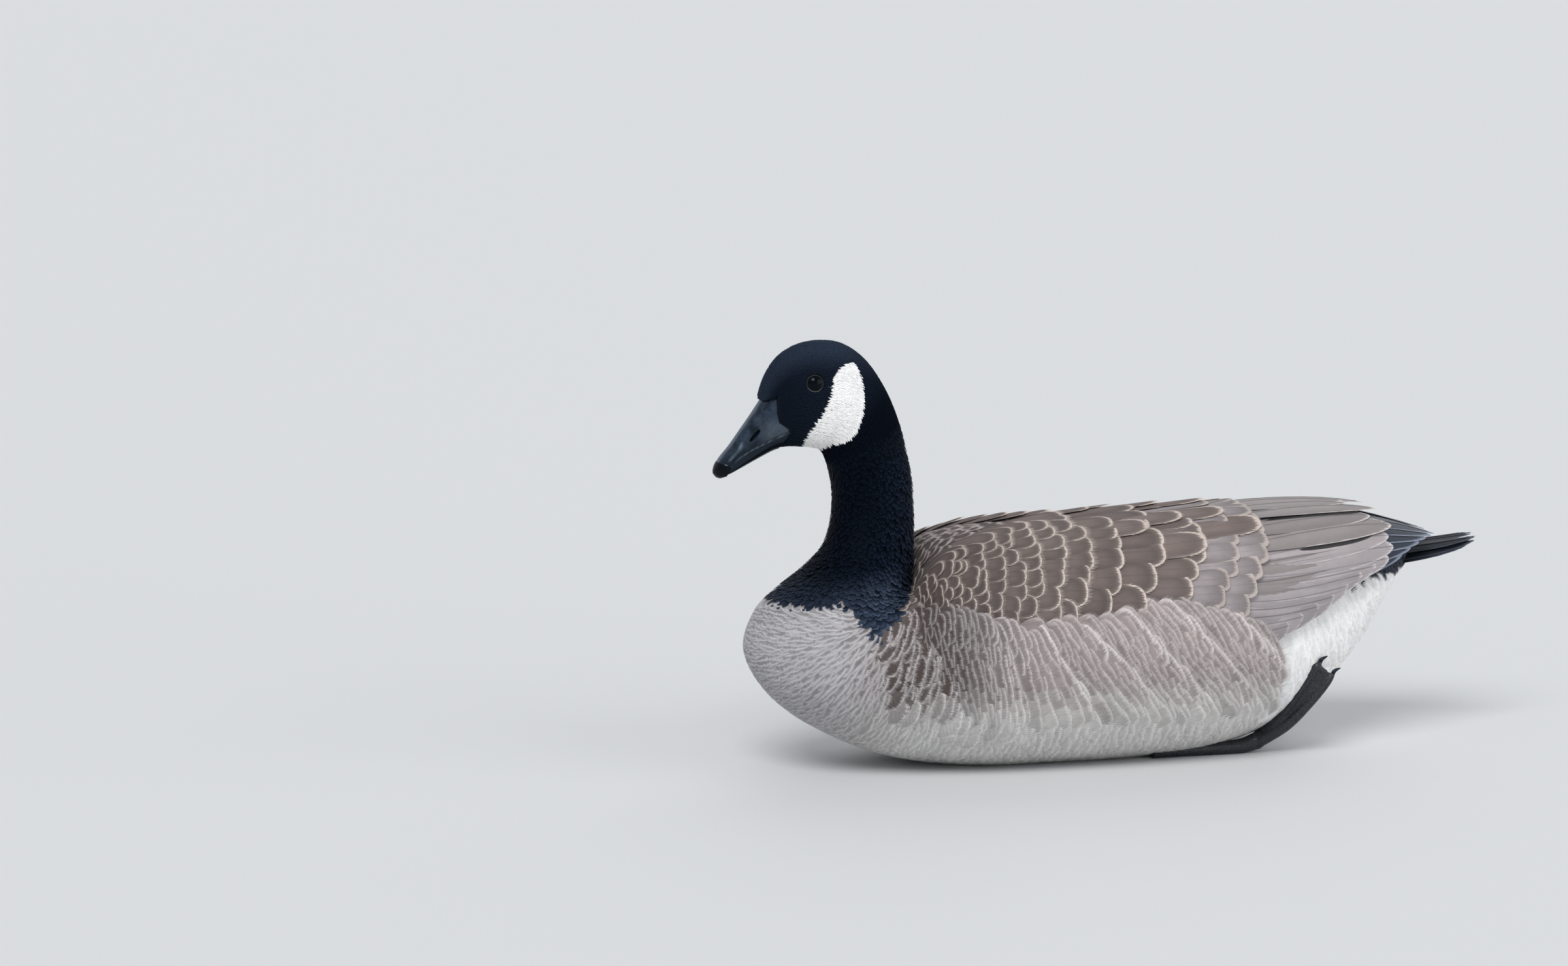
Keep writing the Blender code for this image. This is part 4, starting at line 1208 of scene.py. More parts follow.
class GOOSE_OT_flank_feathers(bpy.types.Operator):
    """Long hairy feathers of the flanks, in clumps that hang over the lower edge of the folded wings"""

    bl_idname = "goose.flank_feathers"
    bl_label = "Flank feathers"

    def execute(self, context):
        rng = draw(context.scene.goose, 4)
        form = Form(0.45, 0.6, 3.6, (4, 5), 8, 0.25 * MM, strands=45, fray=0.10)
        material = vane_material(
            "flank_plumage", form, 16.0, 0.95, rim=(0.72, 1.03), contrast=0.3, dusk=0.1, fringe=0.5,
            specular_ior_level=0.12,
        )
        for name, side in SIDES:
            lines = np.concatenate((np.arange(-158, -96, 4.4), np.arange(-94, 118, 6.2)))
            start, z = np.meshgrid(lines, np.arange(42, 133, 6.6), indexing="ij")
            z = (z + 3.3 * (np.arange(len(z)) % 2)[:, None]).reshape(-1)
            start = start.reshape(-1)
            lean = 0.25 + 0.7 * smoothstep(-110, -30, start)
            x = start + lean * (92 - z) + rng.normal(0, 0.9, len(z))
            z = z + rng.normal(0, 0.9, len(z))
            keep = (z < profile(FLANK_TOP, x) + 2) & (x < 109 - 0.12 * (z - 66))
            keep &= x > -150 + 0.5 * np.maximum(z - 110, 0)
            start, x, z, lean = start[keep], x[keep], z[keep], lean[keep]
            count = len(x)
            length = (22 + 10 * smoothstep(-110, -20, x)) * rng.uniform(0.92, 1.08, count)
            length = np.minimum(length, 0.6 * (x + 165))
            turn = np.arctan(lean) * 0.75 + rng.normal(0, 0.07, count)
            roots = self.spots(x - length * np.cos(turn), z - length * np.sin(turn))
            tips = self.spots(x, z)
            low = smoothstep(62, 26, z - 0.35 * length + rng.normal(0, 4, count))
            rear = smoothstep(-138, -66, x)
            colours = [np.array(PLUMAGE[tract]) for tract in ("side", "flank", "belly")]
            tint, rim = (
                blend(blend(front, flank, rear), belly, low) for front, flank, belly in zip(*colours)
            )
            clump = np.mod((start + 94) / CLUMP_WIDTH, 1.0)
            upper = smoothstep(80, 104, z)
            soft = smoothstep(-110, -60, x) * (clump < 0.75)
            # Darker at the top of the rear flank, and painted shade on the first feathers of each clump,
            # which lie under the clump before.
            tint = tint * (1 - 0.3 * smoothstep(84, 100, x) * upper - 0.15 * (clump < 0.2))[:, None]
            rim = blend(rim, tint * 1.15, 0.6 * soft) * (1 - 0.3 * smoothstep(-88, -124, x))[:, None]
            rise = 0.6 + 2.0 * clump**2 * smoothstep(-80, -10, x) * (1 - low) + 0.9 * upper
            rise += 1.2 * smoothstep(98, 108, z) * smoothstep(-80, -100, x)
            rise = (rise - 1.4 * smoothstep(-108, -138, x)) * MM
            width = (19 + 7 * smoothstep(-100, -20, x)) * MM
            tint, rim = varied(tint, rng, 0.05), varied(rim, rng, 0.05)
            long = roots[:, 0] - tips[:, 0] > 0.16
            coat = Coat()
            cover(
                coat, FLANK, form, roots[long], tips[long], width[long], rise[long], 2.4 * MM, 0.7 * MM,
                0.0, tint[long], rim[long], side=side,
            )
            coat.build("flank_feathers_" + name, material)
        return {"FINISHED"}

    @staticmethod
    def spots(x, height):
        """Spots on the flank, as (place, height), for x and height in millimetres."""
        places = np.linspace(3, 12.3, 320)
        found = FLANK(places[None, :], height[:, None] * MM)[..., 0] / MM
        place = np.array([np.interp(-a, -row, places) for a, row in zip(x, found)])
        return np.stack((place, height * MM), axis=1)


# Tiers of coverts, from the rear: tip x at the lower edge, length and width.
COVERT_TIERS = (
    (75, 50, 20), (53, 46, 19), (27, 46, 21), (-3, 44, 29), (-27, 38, 26), (-46, 33, 23), (-62, 29, 20),
    (-76, 26, 18), (-89, 24, 16), (-100, 23, 15), (-110, 22, 14), (-119, 21, 13), (-127, 18, 12),
    (-133, 15, 12), (-138, 11, 11), (-142, 9, 10), (-145.5, 7, 9), (-148.5, 5, 9), (-151, 4, 8),
)
# Long scapulars over the top of the wing: tip x and degrees, length and width.
SCAPULARS = ((22, 22, 60, 26), (58, 38, 66, 28), (52, 14, 70, 26), (84, 12, 80, 26), (104, 27, 84, 29))
# Tips of the secondaries: x and degrees.
SECONDARIES = (
    (112, 92), (124, 90), (137, 88), (150, 86), (162, 83), (174, 79), (186, 76), (197, 73), (202, 62),
    (200, 50),
)
# Tertials, and between them dark vanes of painted shadow: colour, root x and degrees, tip x and degrees,
# width, rise.
TERTIALS = (
    ("tertial", 62, 64, 197, 71, 26, -1.2), ("tertial", 66, 53, 193, 57, 26, -1.0),
    ("shadow", 104, 47, 188, 47, 14, 0.2), ("tertial", 60, 41, 204, 38, 26, 1.8),
    ("tertial", 60, 30, 191, 26, 26, 1.0), ("shadow", 100, 22, 184, 21, 11, 1.2),
    ("tertial", 56, 16, 199, 13, 25, 2.2), ("tertial", 50, 6, 182, 4, 24, 0.9),
)
# Tips of the primaries: x and degrees.
PRIMARIES = ((212, 70), (220, 61), (228, 51), (235, 40), (241, 29), (245, 18))


class GOOSE_OT_wings(bpy.types.Operator):
    """Folded wings: bed, coverts, scapulars, secondaries, tertials and primaries"""

    bl_idname = "goose.wings"
    bl_label = "Wings"

    def execute(self, context):
        settings = context.scene.goose
        self.scale = Form(0.5, 0.55, 3.0, (3, 6), 10, 0.4 * MM, strands=29, fray=0.03)
        self.hairy = Form(0.5, 0.5, 2.9, (3, 5), 8, 0.3 * MM, strands=31, fray=0.11)
        self.square = Form(0.6, 0.65, 4.6, (4, 7), 10, 0.4 * MM, strands=21, fray=0.02)
        self.long = Form(0.45, 0.62, 1.9, (12, 8), 8, 0.45 * MM, shaft=0.03)
        worn = vane_material(
            "covert_plumage", self.scale, 22.0, 0.8, rim=(0.87, 0.97), shaft=0.25, dusk=0.3, fringe=0.26,
            warm=0.35, specular_ior_level=0.35,
        )
        flight = vane_material(
            "flight_plumage", self.long, 70.0, 0.55, rim=(0.935, 0.99), shaft=0.5, contrast=0.18, dusk=0.15,
            end=(0.1, 0.3), specular_ior_level=0.4,
        )
        dark = vane_material(
            "dark_plumage", self.long, 70.0, 0.36, rim=(0.88, 0.97), shaft=0.3, contrast=0.25, dusk=0.1,
            end=(0.1, 0.3), specular_ior_level=0.7, specular_tint=DARK_TINT,
        )
        for name, side in SIDES:
            self.bed(name, side)
            rng = draw(settings, 5)
            coat = Coat()
            self.coverts(coat, rng, side)
            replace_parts(coat.build("wing_coverts_" + name, worn), "wing_" + name)
            for group, finish in ((self.primaries(), dark), (self.secondaries(), flight)):
                coat = Coat()
                self.flight(coat, group, rng, side)
                coat.build(group[0][0] + "_feathers_" + name, finish)
        return {"FINISHED"}

    def primaries(self):
        """Tips of the primaries that show past the secondaries."""
        return [
            ("primary", (100, 76 - 8 * k), tip, 20, -3.6 + 0.5 * k, 5.0, 0.4, 0.5)
            for k, tip in enumerate(PRIMARIES)
        ]

    def secondaries(self):
        """Secondaries and, over them, the tertials, with dark vanes of painted shadow between them."""
        vanes = [
            ("secondary", (52, 91 - 4.6 * k), tip, 26, -0.8 + 0.22 * k, 2.6, 0.2, 0.4)
            for k, tip in enumerate(SECONDARIES)
        ]
        for colour, *ends, width, rise in TERTIALS:
            vanes.append((colour, ends[:2], ends[2:], width, rise, 2.0, 1.2, 0.9 + 0.3 * rise))
        return vanes

    def bed(self, name, side):
        """Dark underlayer that the tiers grow from."""
        u, v = np.meshgrid(
            np.linspace(-0.153, 0.128, 80), np.radians(np.linspace(3, 92, 34)), indexing="ij"
        )
        point, _, _, normal = frames(WING, u, v)
        hollow = smoothstep(8, -4, np.abs(point[..., 1]) / MM - profile(MANTLE_HALF, u / MM))
        point = point - normal * (3.6 + 3.8 * hollow[..., None]) * MM
        bm = bmesh.new()
        rows = [[bm.verts.new((p[0], p[1] * side, p[2])) for p in row] for row in point]
        for low, high in zip(rows, rows[1:]):
            for k in range(len(low) - 1):
                bm.faces.new((low[k], low[k + 1], high[k + 1], high[k]))
        bmesh.ops.recalc_face_normals(bm, faces=bm.faces)
        bmesh.ops.solidify(bm, geom=bm.faces[:], thickness=1.0 * MM)
        graph = Graph("wing_bed", 0.9)
        graph.colour(graph.mix(graph.noise(80.0), (0.09, 0.07, 0.06), (0.15, 0.125, 0.105)))
        obj = finished(bm, "wing_bed_" + name, [graph.material])
        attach(obj, BODY)

    def coverts(self, coat, rng, side):
        """Tiers of coverts, laid from the rear, and the long scapulars over them."""
        base, edge = (np.array(colour) for colour in PLUMAGE["covert"])
        grey, pale = (np.array(colour) for colour in PLUMAGE["secondary"])
        brown, buff = (np.array(colour) for colour in PLUMAGE["mantle"])
        for k, (tip, length, width) in enumerate(COVERT_TIERS):
            angle = 94 - 0.55 * k + (0.185 * width if k % 2 else 0.0)
            angles = []
            while angle > -2:
                angles.append(angle)
                _, _, slope, _ = frames(WING, np.array([tip * MM]), np.radians([angle]))
                angle -= math.degrees(0.62 * width * MM / float(np.linalg.norm(slope)))
            angles = np.array(angles) + rng.normal(0, 1.0, len(angles))
            count = len(angles)
            upper = smoothstep(90, 35, angles)
            slant = np.interp(tip, (-149, -134, -60, 0), (1.5, 7, 18, 30))
            ends = tip + rng.normal(0, 1.6 if tip < 40 else 0.7, count) + slant * upper
            near = np.maximum(ends, -128)
            half = profile(WING_HALF, near) * np.abs(power(np.sin(np.radians(angles)), 2 / WING_SQUARENESS))
            back = smoothstep(9, -3, half - profile(MANTLE_HALF, near))
            reach = length * (1 + 0.25 * upper) * rng.uniform(0.96, 1.04, count)
            roots = np.stack(((ends - reach) * MM, np.radians(angles - 3 - 7 * back)), axis=1)
            tips = np.stack((ends * MM, np.radians(angles)), axis=1)
            rear = smoothstep(20, 60, ends - slant * upper)
            # Random tone, and painted top light: the upper coverts are made lighter.
            shade = 1 + rng.normal(0, 0.06, (count, 1)) + 0.12 * upper[:, None]
            tint = blend(base, grey, 0.75 * rear) * shade
            tint = blend(tint, brown, back) * (1 - 0.34 * smoothstep(-50, -118, ends))[:, None]
            rim = blend(blend(edge, pale, 0.3 * rear), buff, back) * (1 + rng.normal(0, 0.05, (count, 1)))
            rim = rim * (1 - 0.26 * rear - 0.14 * smoothstep(-40, -80, ends))[:, None]
            wide = width * MM * rng.uniform(0.93, 1.07, count) * (1 + 0.15 * upper)
            rise = (1.2 + 0.5 * rng.random(count) - 4.6 * back) * MM
            sunk = (2.4 + 3.8 * back) * MM
            form = self.hairy if tip < -40 else self.scale if tip < 40 else self.square
            cover(coat, WING, form, roots, tips, wide, rise, sunk, 0.45 * MM, 0.3 * MM, tint, rim, side)
        for tip, angle, length, width in SCAPULARS:
            root = np.array([((tip - length) * MM, math.radians(angle))])
            end = np.array([(tip * MM, math.radians(angle))])
            # Painted top light: the scapulars over the top of the wing take the covert colour made lighter.
            cover(
                coat, WING, self.scale, root, end, width * MM, 2.6 * MM, 2.0 * MM, 1.0 * MM, 0.3 * MM,
                base[None] * 1.35, edge[None], side,
            )

    def flight(self, coat, vanes, rng, side):
        """Lays each vane: colour, root and tip in x and degrees, width, rise, sink, arch and tilt."""
        for k, (name, root, tip, *sizes) in enumerate(vanes):
            base, edge = PLUMAGE[name]
            ends = [(x * MM, math.radians(angle)) for x, angle in (root, tip)]
            tint = np.array(base) * (1 + rng.normal(0, 0.07))
            lay_one(coat, WING, self.long, *ends, sizes, tint, edge, k, 5, WING_PATCH, side)


TAIL_FEATHERS = 16


class TailSheet:
    """Curved sheet that the tail feathers lie on, read at x and y."""

    step = (1e-4, 1e-4)
    outward = 1
    tailward = 1

    def __call__(self, x, y):
        x, y = np.broadcast_arrays(x, y)
        way = np.clip((x / MM - 165) / 112, 0, 1.05)
        sag = 13 - 7.5 * way
        return np.stack((x, y, (132 + 4 * way**3) * MM - sag * MM * (y / (25 * MM)) ** 2), axis=-1)


class GOOSE_OT_tail(bpy.types.Operator):
    """Black tail feathers, closed into a narrow fan"""

    bl_idname = "goose.tail"
    bl_label = "Tail"

    def execute(self, context):
        rng = draw(context.scene.goose, 6)
        form = Form(0.5, 0.6, 1.9, (12, 7), 8, 0.5 * MM, strands=9, fray=0.025, shaft=0.06)
        material = vane_material(
            "tail_plumage", form, 60.0, 0.4, rim=(0.84, 1.0), shaft=0.4, contrast=0.3, dusk=0.1,
            end=(0.1, 0.3), specular_ior_level=0.3, specular_tint=DARK_TINT,
        )
        coat = Coat()
        base, edge = PLUMAGE["tail"]
        for index in range(TAIL_FEATHERS):
            share = 2 * index / (TAIL_FEATHERS - 1) - 1
            depth = abs(share)
            spread = math.radians(8.5) * share
            length = (92 - 8 * depth**2) * MM * rng.uniform(0.95, 1.0)
            root = (168 * MM, 20 * MM * share)
            tip = ((187.2 * MM + length) * math.cos(spread * 0.4), 15 * MM * share)
            level = -1.8 * depth + 0.8 * rng.normal()
            sizes = (12.5, level + 0.4, -level, 0.5, 0.0)
            lay_one(coat, TailSheet(), form, root, tip, sizes, base, edge, index, 4, TAIL_PATCH)
        tail = coat.build("tail_feathers", material)
        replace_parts(tail, "tail")
        return {"FINISHED"}


def held(value):
    """A value kept between 0 and 1."""
    return min(max(value, 0), 1)


def hump(distance, reach):
    """Smooth hump, 1 in its middle and nearly 0 past twice its reach."""
    return math.exp(-((distance / reach) ** 2))


def off_line(place, start, end):
    """Distance from a place to the straight line between two others."""
    run = end - start
    return (place - start - run * held((place - start).dot(run) / run.length_squared)).length


def loft_mesh(stations, places, around, grow=0.0):
    """Fine closed loft through stations."""
    surface = Loft(stations)
    u, v = np.meshgrid(places, np.arange(around) / around, indexing="ij")
    point, _, _, normal = frames(surface, u, v)
    return tube(point + normal * grow)


class GOOSE_OT_bill(bpy.types.Operator):
    """Upper and lower bill, with nail, nostrils and the line of the mouth"""

    bl_idname = "goose.bill"
    bl_label = "Bill"

    def execute(self, context):
        horn = self.horn(tuple(context.scene.goose.bill_colour))
        end = len(BILL_STATIONS) - 1
        outer = loft_mesh(BILL_STATIONS, np.linspace(0, end, 90), 72)
        upper = finished(outer, "bill_top", [horn])
        outline = list(FEATHER_EDGE[:-1]) + moved_line(MOUTH_LINE, -0.12)[1:] + [(-300, 195), (-300, 249.5)]
        nostrils = [self.nostril(side) for _, side in SIDES]
        cut(upper, [prism("upper_side", outline)], "INTERSECT")
        cut(upper, nostrils)
        self.shape(upper)
        inner = loft_mesh(BILL_STATIONS, np.linspace(0, end - 1.35, 80), 64, -0.9 * MM)
        lower = finished(inner, "bill_under", [horn])
        outline = moved_line(MOUTH_LINE, 0.12)[1:] + [(-300, 190), (-240, 190), CHIN_EDGE[2], CHIN_EDGE[1]]
        cut(lower, [prism("lower_side", outline)], "INTERSECT")
        for obj, node in ((upper, "bill_upper"), (lower, "bill_lower")):
            obj.data.shade_smooth()
            obj.data.set_sharp_from_angle(angle=HORN_SHARPNESS)
            rim = obj.modifiers.new("rim", "BEVEL")
            rim.width, rim.segments = 0.25 * MM, 2
            rim.limit_method, rim.angle_limit = "ANGLE", HORN_SHARPNESS
            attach(obj, BODY)
            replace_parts(obj, node)
        return {"FINISHED"}

    def horn(self, colour):
        """Pitted bill, with painted sky sheen up its sides and painted highlights on ridge, mouth and gape.
        """
        graph = Graph("horn", 0.3, specular_ior_level=0.35, specular_tint=(0.6, 0.8, 1.0, 1.0))
        line, height, _ = graph.split(graph.attribute("Horn"))
        fine, broad = graph.noise(1400.0, 2.0), graph.noise(160.0, 4.0)
        pits = graph.cells("F1", 700.0)
        # Painted sky sheen: the horn turns from its dark colour to a lighter one higher above the mouth, in
        # broad patches.
        dark_horn, pale = tuple(c * 0.35 for c in colour), tuple(c * 2.2 + 0.004 for c in colour)
        shown = graph.mix(broad.step(0.25, 0.75) * height.step(0.15, 0.8), dark_horn, pale)
        x, y, z = graph.split(graph.place())
        # Painted highlight along the ridge of the upper bill.
        ridge_highlight = (1.0 - y.maths("ABSOLUTE").step(0.0010, 0.0042)) * height.step(0.2, 0.5)
        shown = graph.mix(ridge_highlight * (0.35 + broad * 0.6), shown, (0.10, 0.135, 0.175))
        # Painted sheen with fine specks at the gape.
        gape_sheen = x.step(-0.252, -0.240) * (1.0 - z.step(0.242, 0.249)) * height.step(0.1, 0.25)
        sheen_specks = (0.35 + 0.5 * graph.noise(1900.0, 2.0).step(0.40, 0.66)) * gape_sheen
        shown = graph.mix(sheen_specks, shown, (0.075, 0.093, 0.115))
        # Painted highlight: a thin pale line along the mouth.
        graph.colour(graph.mix(line * 0.8, shown, (0.085, 0.10, 0.125)))
        graph.roughness(broad * 0.3 + fine * 0.1 + 0.08)
        graph.bump(pits * 0.5 + fine * 0.5, 0.25, 0.15 * MM)
        return graph.material

    def nostril(self, side):
        """Slanted oval that cuts one nostril."""
        bm = bmesh.new()
        bmesh.ops.create_uvsphere(bm, u_segments=32, v_segments=16, radius=1.0)
        bmesh.ops.scale(bm, vec=(6.6 * MM, 3.4 * MM, 1.7 * MM), verts=bm.verts)
        turn_about(bm, bm.verts, Matrix.Rotation(math.radians(-48), 3, "Y"))
        place = (NOSTRIL[0] * MM, side * NOSTRIL[1] * MM, NOSTRIL[2] * MM)
        bmesh.ops.translate(bm, vec=place, verts=bm.verts)
        return finished(bm, "nostril")

    def shape(self, bill):
        """Hollow round the nostril, rim along the mouth, and the nail, with marks for the painted sheen."""
        mouth = [Vector(p) for p in MOUTH_LINE]
        shades = []
        for vertex in bill.data.vertices:
            place = Vector((vertex.co.x, vertex.co.z)) / MM
            hollow = hump(off_line(place, *NOSTRIL_HOLLOW), HOLLOW_REACH)
            near = min(off_line(place, p, q) for p, q in zip(mouth, mouth[1:]))
            rim = hump(near - RIM_PLACE, RIM_REACH)
            past = place.dot(NAIL_WAY) - NAIL_START
            tipward = held((-262 - place.x) / 4)
            groove = hump(past, GROOVE_REACH) * tipward
            if abs(vertex.co.y) > 3 * MM:
                inward = (HOLLOW_DEPTH * hollow - RIM_HEIGHT * rim) * MM
                vertex.co.y -= math.copysign(inward, vertex.co.y)
            vertex.co -= vertex.normal * GROOVE_DEPTH * MM * groove
            # Marks for the material: a painted highlight line along the mouth, the height above the mouth
            # that the painted sky sheen follows, and the nail.
            line = hump(near - 0.6, 0.4) * held((place.x + 268) / 6)
            shades += [line, held(near / 12), held(past / 0.5) * tipward, 1.0]
        bill.data.attributes.new("Horn", "FLOAT_COLOR", "POINT").data.foreach_set("color", shades)
        nail = Graph("nail", 0.22, specular_ior_level=0.12)
        nail.colour((0.0015, 0.0025, 0.0045))
        bill.data.materials.append(nail.material)
        for face in bill.data.polygons:
            face.material_index = int(min(shades[4 * k + 2] for k in face.vertices) > 0.5)


class GOOSE_OT_eyes(bpy.types.Operator):
    """Eyeballs and the lids round them"""

    bl_idname = "goose.eyes"
    bl_label = "Eyes and lids"

    def execute(self, context):
        iris = tuple(context.scene.goose.iris_colour)
        graph = Graph("eyeball", 0.03, specular_ior_level=0.13, specular_tint=(0.55, 0.78, 1.0, 1.0))
        graph.colour(iris)
        leather = Graph("lid_leather", 0.5)
        lower = 1.0 - leather.split(leather.place())[2].step(0.2665, 0.2705)
        leather.colour(
            leather.mix(lower * leather.noise(900.0), (0.004, 0.0045, 0.006), (0.13, 0.125, 0.13))
        )
        leather.bump(leather.noise(2500.0), 0.4, 0.1 * MM)
        for name, side in SIDES:
            centre, outward = eye_centre(side)
            bm = bmesh.new()
            bmesh.ops.create_uvsphere(bm, u_segments=48, v_segments=32, radius=EYE_RADIUS)
            bmesh.ops.translate(bm, vec=centre, verts=bm.verts)
            ball = finished(bm, "eyeball_" + name, [graph.material])
            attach(ball, BODY)
            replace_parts(ball, "eye_" + name)
            lid = finished(self.lid(centre, outward), "lids_" + name, [leather.material])
            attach(lid, BODY)
        return {"FINISHED"}

    def lid(self, centre, outward):
        """Ring of the two lids, a little scalloped."""
        bm = bmesh.new()
        ring = circle(bm, 12, LID_RADIUS)
        turn_about(bm, ring, Matrix.Rotation(math.radians(90), 3, "X"))
        bmesh.ops.translate(bm, vec=(EYE_OPENING + 0.12 * MM, 0, 0), verts=ring)
        bmesh.ops.spin(
            bm, geom=bm.edges[:], cent=(0, 0, 0), axis=(0, 0, 1), angle=math.tau, steps=96, use_merge=True
        )
        for vertex in bm.verts:
            turn = math.atan2(vertex.co.y, vertex.co.x)
            vertex.co.z += 0.09 * MM * math.sin(LID_SCALLOPS * turn)
        turn_about(bm, bm.verts, outward.to_track_quat("Z", "Y").to_matrix())
        bmesh.ops.translate(bm, vec=centre + outward * (LID_DEPTH - 0.1 * MM), verts=bm.verts)
        return bm


# Right foot: centre line of the shank and of the closed toes, with radii, in millimetres.
SHANK = (((26, 43, 5.0), 5.4), ((55, 43, 4.4), 5.0), ((88, 44, 4.6), 5.2), ((104, 44.5, 8.5), 6.2))
TOES = (
    (
        ((104, 43.5, 8.5), 4.8), ((117, 52, 24), 3.8), ((128, 59, 42), 3.4), ((138, 63.5, 58), 2.6),
        ((143, 64.5, 67), 1.1),
    ),
    (
        ((104, 47, 8.5), 4.6), ((120, 57, 20), 3.6), ((134, 64, 36), 3.2), ((146, 68, 51), 2.4),
        ((151, 68.5, 59), 1.1),
    ),
    (
        ((104, 40, 8.5), 4.4), ((113, 48, 26), 3.5), ((121, 56, 45), 3.1), ((128, 61.5, 60), 2.3),
        ((131, 63, 67), 1.1),
    ),
)
FOOT_VOXEL = 0.9 * MM


class GOOSE_OT_feet(bpy.types.Operator):
    """Webbed feet, folded back under the flanks"""

    bl_idname = "goose.feet"
    bl_label = "Feet"

    def execute(self, context):
        colour = tuple(context.scene.goose.foot_colour)
        graph = Graph("foot_scutes", 0.5)
        plate = graph.cells("DISTANCE_TO_EDGE", 420.0).step(0.0, 0.12)
        graph.colour(graph.mix(plate, tuple(c * 0.5 for c in colour), tuple(c * 1.8 for c in colour)))
        graph.roughness(0.6 - plate * 0.25)
        graph.bump(plate, 0.6, 0.25 * MM)
        for name, side in SIDES:
            bm = bmesh.new()
            for line in (SHANK, *TOES):
                self.limb(bm, line)
            self.web(bm)
            bmesh.ops.scale(bm, vec=(1, side, 1), verts=bm.verts)
            foot = finished(bm, "webbed_foot_" + name, [graph.material])
            fuse = foot.modifiers.new("fuse", "REMESH")
            fuse.mode, fuse.voxel_size, fuse.use_smooth_shade = "VOXEL", FOOT_VOXEL, True
            apply_modifiers(foot)
            for vertex in foot.data.vertices:
                vertex.co.z = max(vertex.co.z, FLOOR_CLEARANCE)
            foot.data.materials.clear()
            foot.data.materials.append(graph.material)
            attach(foot, BODY)
            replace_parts(foot, "foot_" + name)
            self.claws(name, side, bpy.data.materials["horn"])
        return {"FINISHED"}

    def limb(self, bm, line, sides=16, rings=28):
        """Round limb along a smooth centre line."""
        knots = np.arange(len(line))
        at = np.linspace(0, len(line) - 1, rings)
        spine = np.stack([smooth_curve(knots, [p[0][k] for p in line], at) for k in range(3)], axis=1)
        radius = smooth_curve(knots, [p[1] for p in line], at)
        made = []
        for i in range(rings):
            ahead = Vector(spine[min(i + 1, rings - 1)] - spine[max(i - 1, 0)])
            ring = circle(bm, sides, radius[i] * MM)
            turn_about(bm, ring, ahead.to_track_quat("Z", "Y").to_matrix())
            bmesh.ops.translate(bm, vec=Vector(spine[i]) * MM, verts=ring)
            made.append(ring)
        bridge(bm, made)

    def web(self, bm):
        """Thin web between the toes, folded with them."""
        knots, at = np.arange(5), np.linspace(0, 3.6, 16)
        lines = [
            np.stack([smooth_curve(knots, [p[0][k] for p in toe], at) for k in range(3)], axis=1) * MM
            for toe in (TOES[1], TOES[0], TOES[2])
        ]
        rings = []
        for i in range(len(at)):
            outer, middle, inner = (Vector(line[i]) for line in lines)
            ahead = Vector(lines[1][min(i + 1, len(at) - 1)] - lines[1][max(i - 1, 0)])
            off = (outer - inner).cross(ahead).normalized() * 1.1 * MM
            ring = circle(bm, 6)
            places = (outer + off, middle + off, inner + off, inner - off, middle - off, outer - off)
            for vertex, place in zip(ring, places):
                vertex.co = place
            rings.append(ring)
        bridge(bm, rings)

    def claws(self, name, side, horn):
        """Short bent claws at the ends of the toes."""
        bm = bmesh.new()
        for toe in TOES:
            (before, _), (tip, _) = toe[-2:]
            ahead = (Vector(tip) - Vector(before)).normalized()
            bend = (ahead + Vector((0.25, 0, -0.5))).normalized()
            line = [
                (tuple(Vector(tip) - ahead * 3), 1.5), (tip, 1.4), (tuple(Vector(tip) + bend * 4.5), 0.35)
            ]
            self.limb(bm, line, 10, 9)
        bmesh.ops.scale(bm, vec=(1, side, 1), verts=bm.verts)
        claws = finished(bm, "claws_" + name, [horn])
        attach(claws, BODY)


# Lamps: name, direction that it stands in, strength and spread in degrees.
LAMPS = (
    ("key", (-0.45, -0.7, 1.0), 1.9, 32), ("back", (0.5, 0.9, 0.8), 0.5, 50),
    ("fill", (1.0, -0.9, 0.2), 1.3, 60),
)
CAMERA_TARGET = (-197.6, 95.9, 182.0)
SKY_COLOUR = (0.93, 0.96, 1.0, 1.0)
SKY_STRENGTH = 0.48
FLOOR_SIZE = 60.0


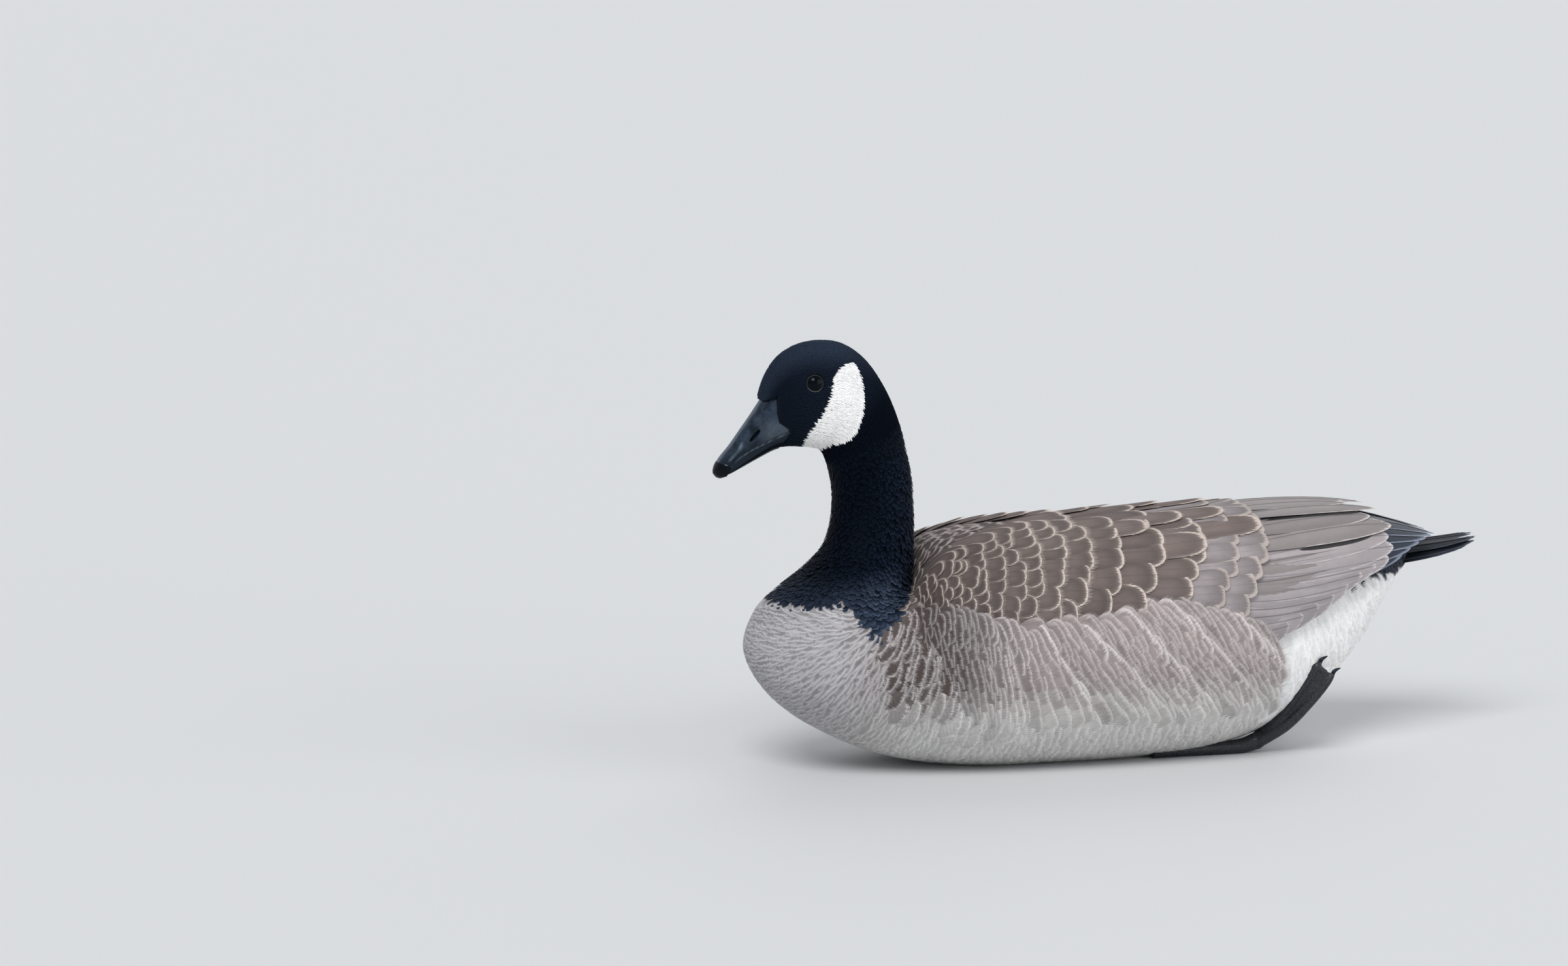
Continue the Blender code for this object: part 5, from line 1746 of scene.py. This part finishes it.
class GOOSE_OT_stage(bpy.types.Operator):
    """Plain pale floor, soft lights and the camera"""

    bl_idname = "goose.stage"
    bl_label = "Stage"

    def execute(self, context):
        stage = context.scene.goose_stage
        bm = bmesh.new()
        bmesh.ops.create_grid(bm, x_segments=1, y_segments=1, size=FLOOR_SIZE)
        graph = Graph("floor", 0.7)
        graph.colour(tuple(stage.floor_colour))
        floor = finished(bm, "floor", [graph.material])
        world = bpy.data.worlds.new("studio")
        world.use_nodes = True
        sky = world.node_tree.nodes["Background"].inputs
        sky["Color"].default_value = SKY_COLOUR
        sky["Strength"].default_value = SKY_STRENGTH
        context.scene.world = world
        context.scene.view_settings.view_transform = "Standard"
        for lamp in LAMPS:
            self.sun(*lamp)
        self.camera(context, stage)
        return {"FINISHED"}

    def sun(self, name, toward, strength, spread):
        """Wide soft lamp, far away, that stands towards a direction."""
        data = bpy.data.lights.new(name, "SUN")
        data.energy, data.angle = strength, math.radians(spread)
        lamp = bpy.data.objects.new(name, data)
        lamp.rotation_euler = Vector(toward).to_track_quat("Z", "Y").to_euler()
        bpy.context.scene.collection.objects.link(lamp)

    def camera(self, context, stage):
        """Long lens at the photo's angle, framed as there, with the bird in the right half."""
        a, e = stage.azimuth, stage.elevation
        back = Vector((math.sin(a) * math.cos(e), -math.cos(a) * math.cos(e), math.sin(e)))
        data = bpy.data.cameras.new("camera")
        data.sensor_width = 36.0
        data.lens = data.sensor_width * stage.distance / stage.view_width
        data.clip_end = 100.0
        camera = bpy.data.objects.new("camera", data)
        camera.location = Vector(CAMERA_TARGET) * MM + back * stage.distance
        camera.rotation_euler = (-back).to_track_quat("-Z", "Y").to_euler()
        context.scene.collection.objects.link(camera)
        context.scene.camera = camera


OPERATORS = (
    GOOSE_OT_stage, GOOSE_OT_skin, GOOSE_OT_head_feathers, GOOSE_OT_neck_feathers, GOOSE_OT_body_feathers,
    GOOSE_OT_flank_feathers, GOOSE_OT_wings, GOOSE_OT_tail, GOOSE_OT_bill, GOOSE_OT_eyes, GOOSE_OT_feet,
)


class GOOSE_PT_panel(bpy.types.Panel):
    """Lists the settings and the steps"""

    bl_idname = "GOOSE_PT_panel"
    bl_label = "Goose"
    bl_space_type = "VIEW_3D"
    bl_region_type = "UI"
    bl_category = "Goose"

    def draw(self, context):
        for group in (context.scene.goose, context.scene.goose_stage):
            for name in group.__annotations__:
                self.layout.prop(group, name)
        for operator in OPERATORS:
            self.layout.operator(operator.bl_idname)


CLASSES = (GooseSettings, StageSettings, *OPERATORS, GOOSE_PT_panel)


def register():
    for item in CLASSES:
        bpy.utils.register_class(item)
    bpy.types.Scene.goose = bpy.props.PointerProperty(type=GooseSettings)
    bpy.types.Scene.goose_stage = bpy.props.PointerProperty(type=StageSettings)


def unregister():
    del bpy.types.Scene.goose_stage
    del bpy.types.Scene.goose
    for item in reversed(CLASSES):
        bpy.utils.unregister_class(item)


def main():
    register()
    for operator in OPERATORS:
        group, name = operator.bl_idname.split(".")
        getattr(getattr(bpy.ops, group), name)()


if __name__ == "__main__":
    main()
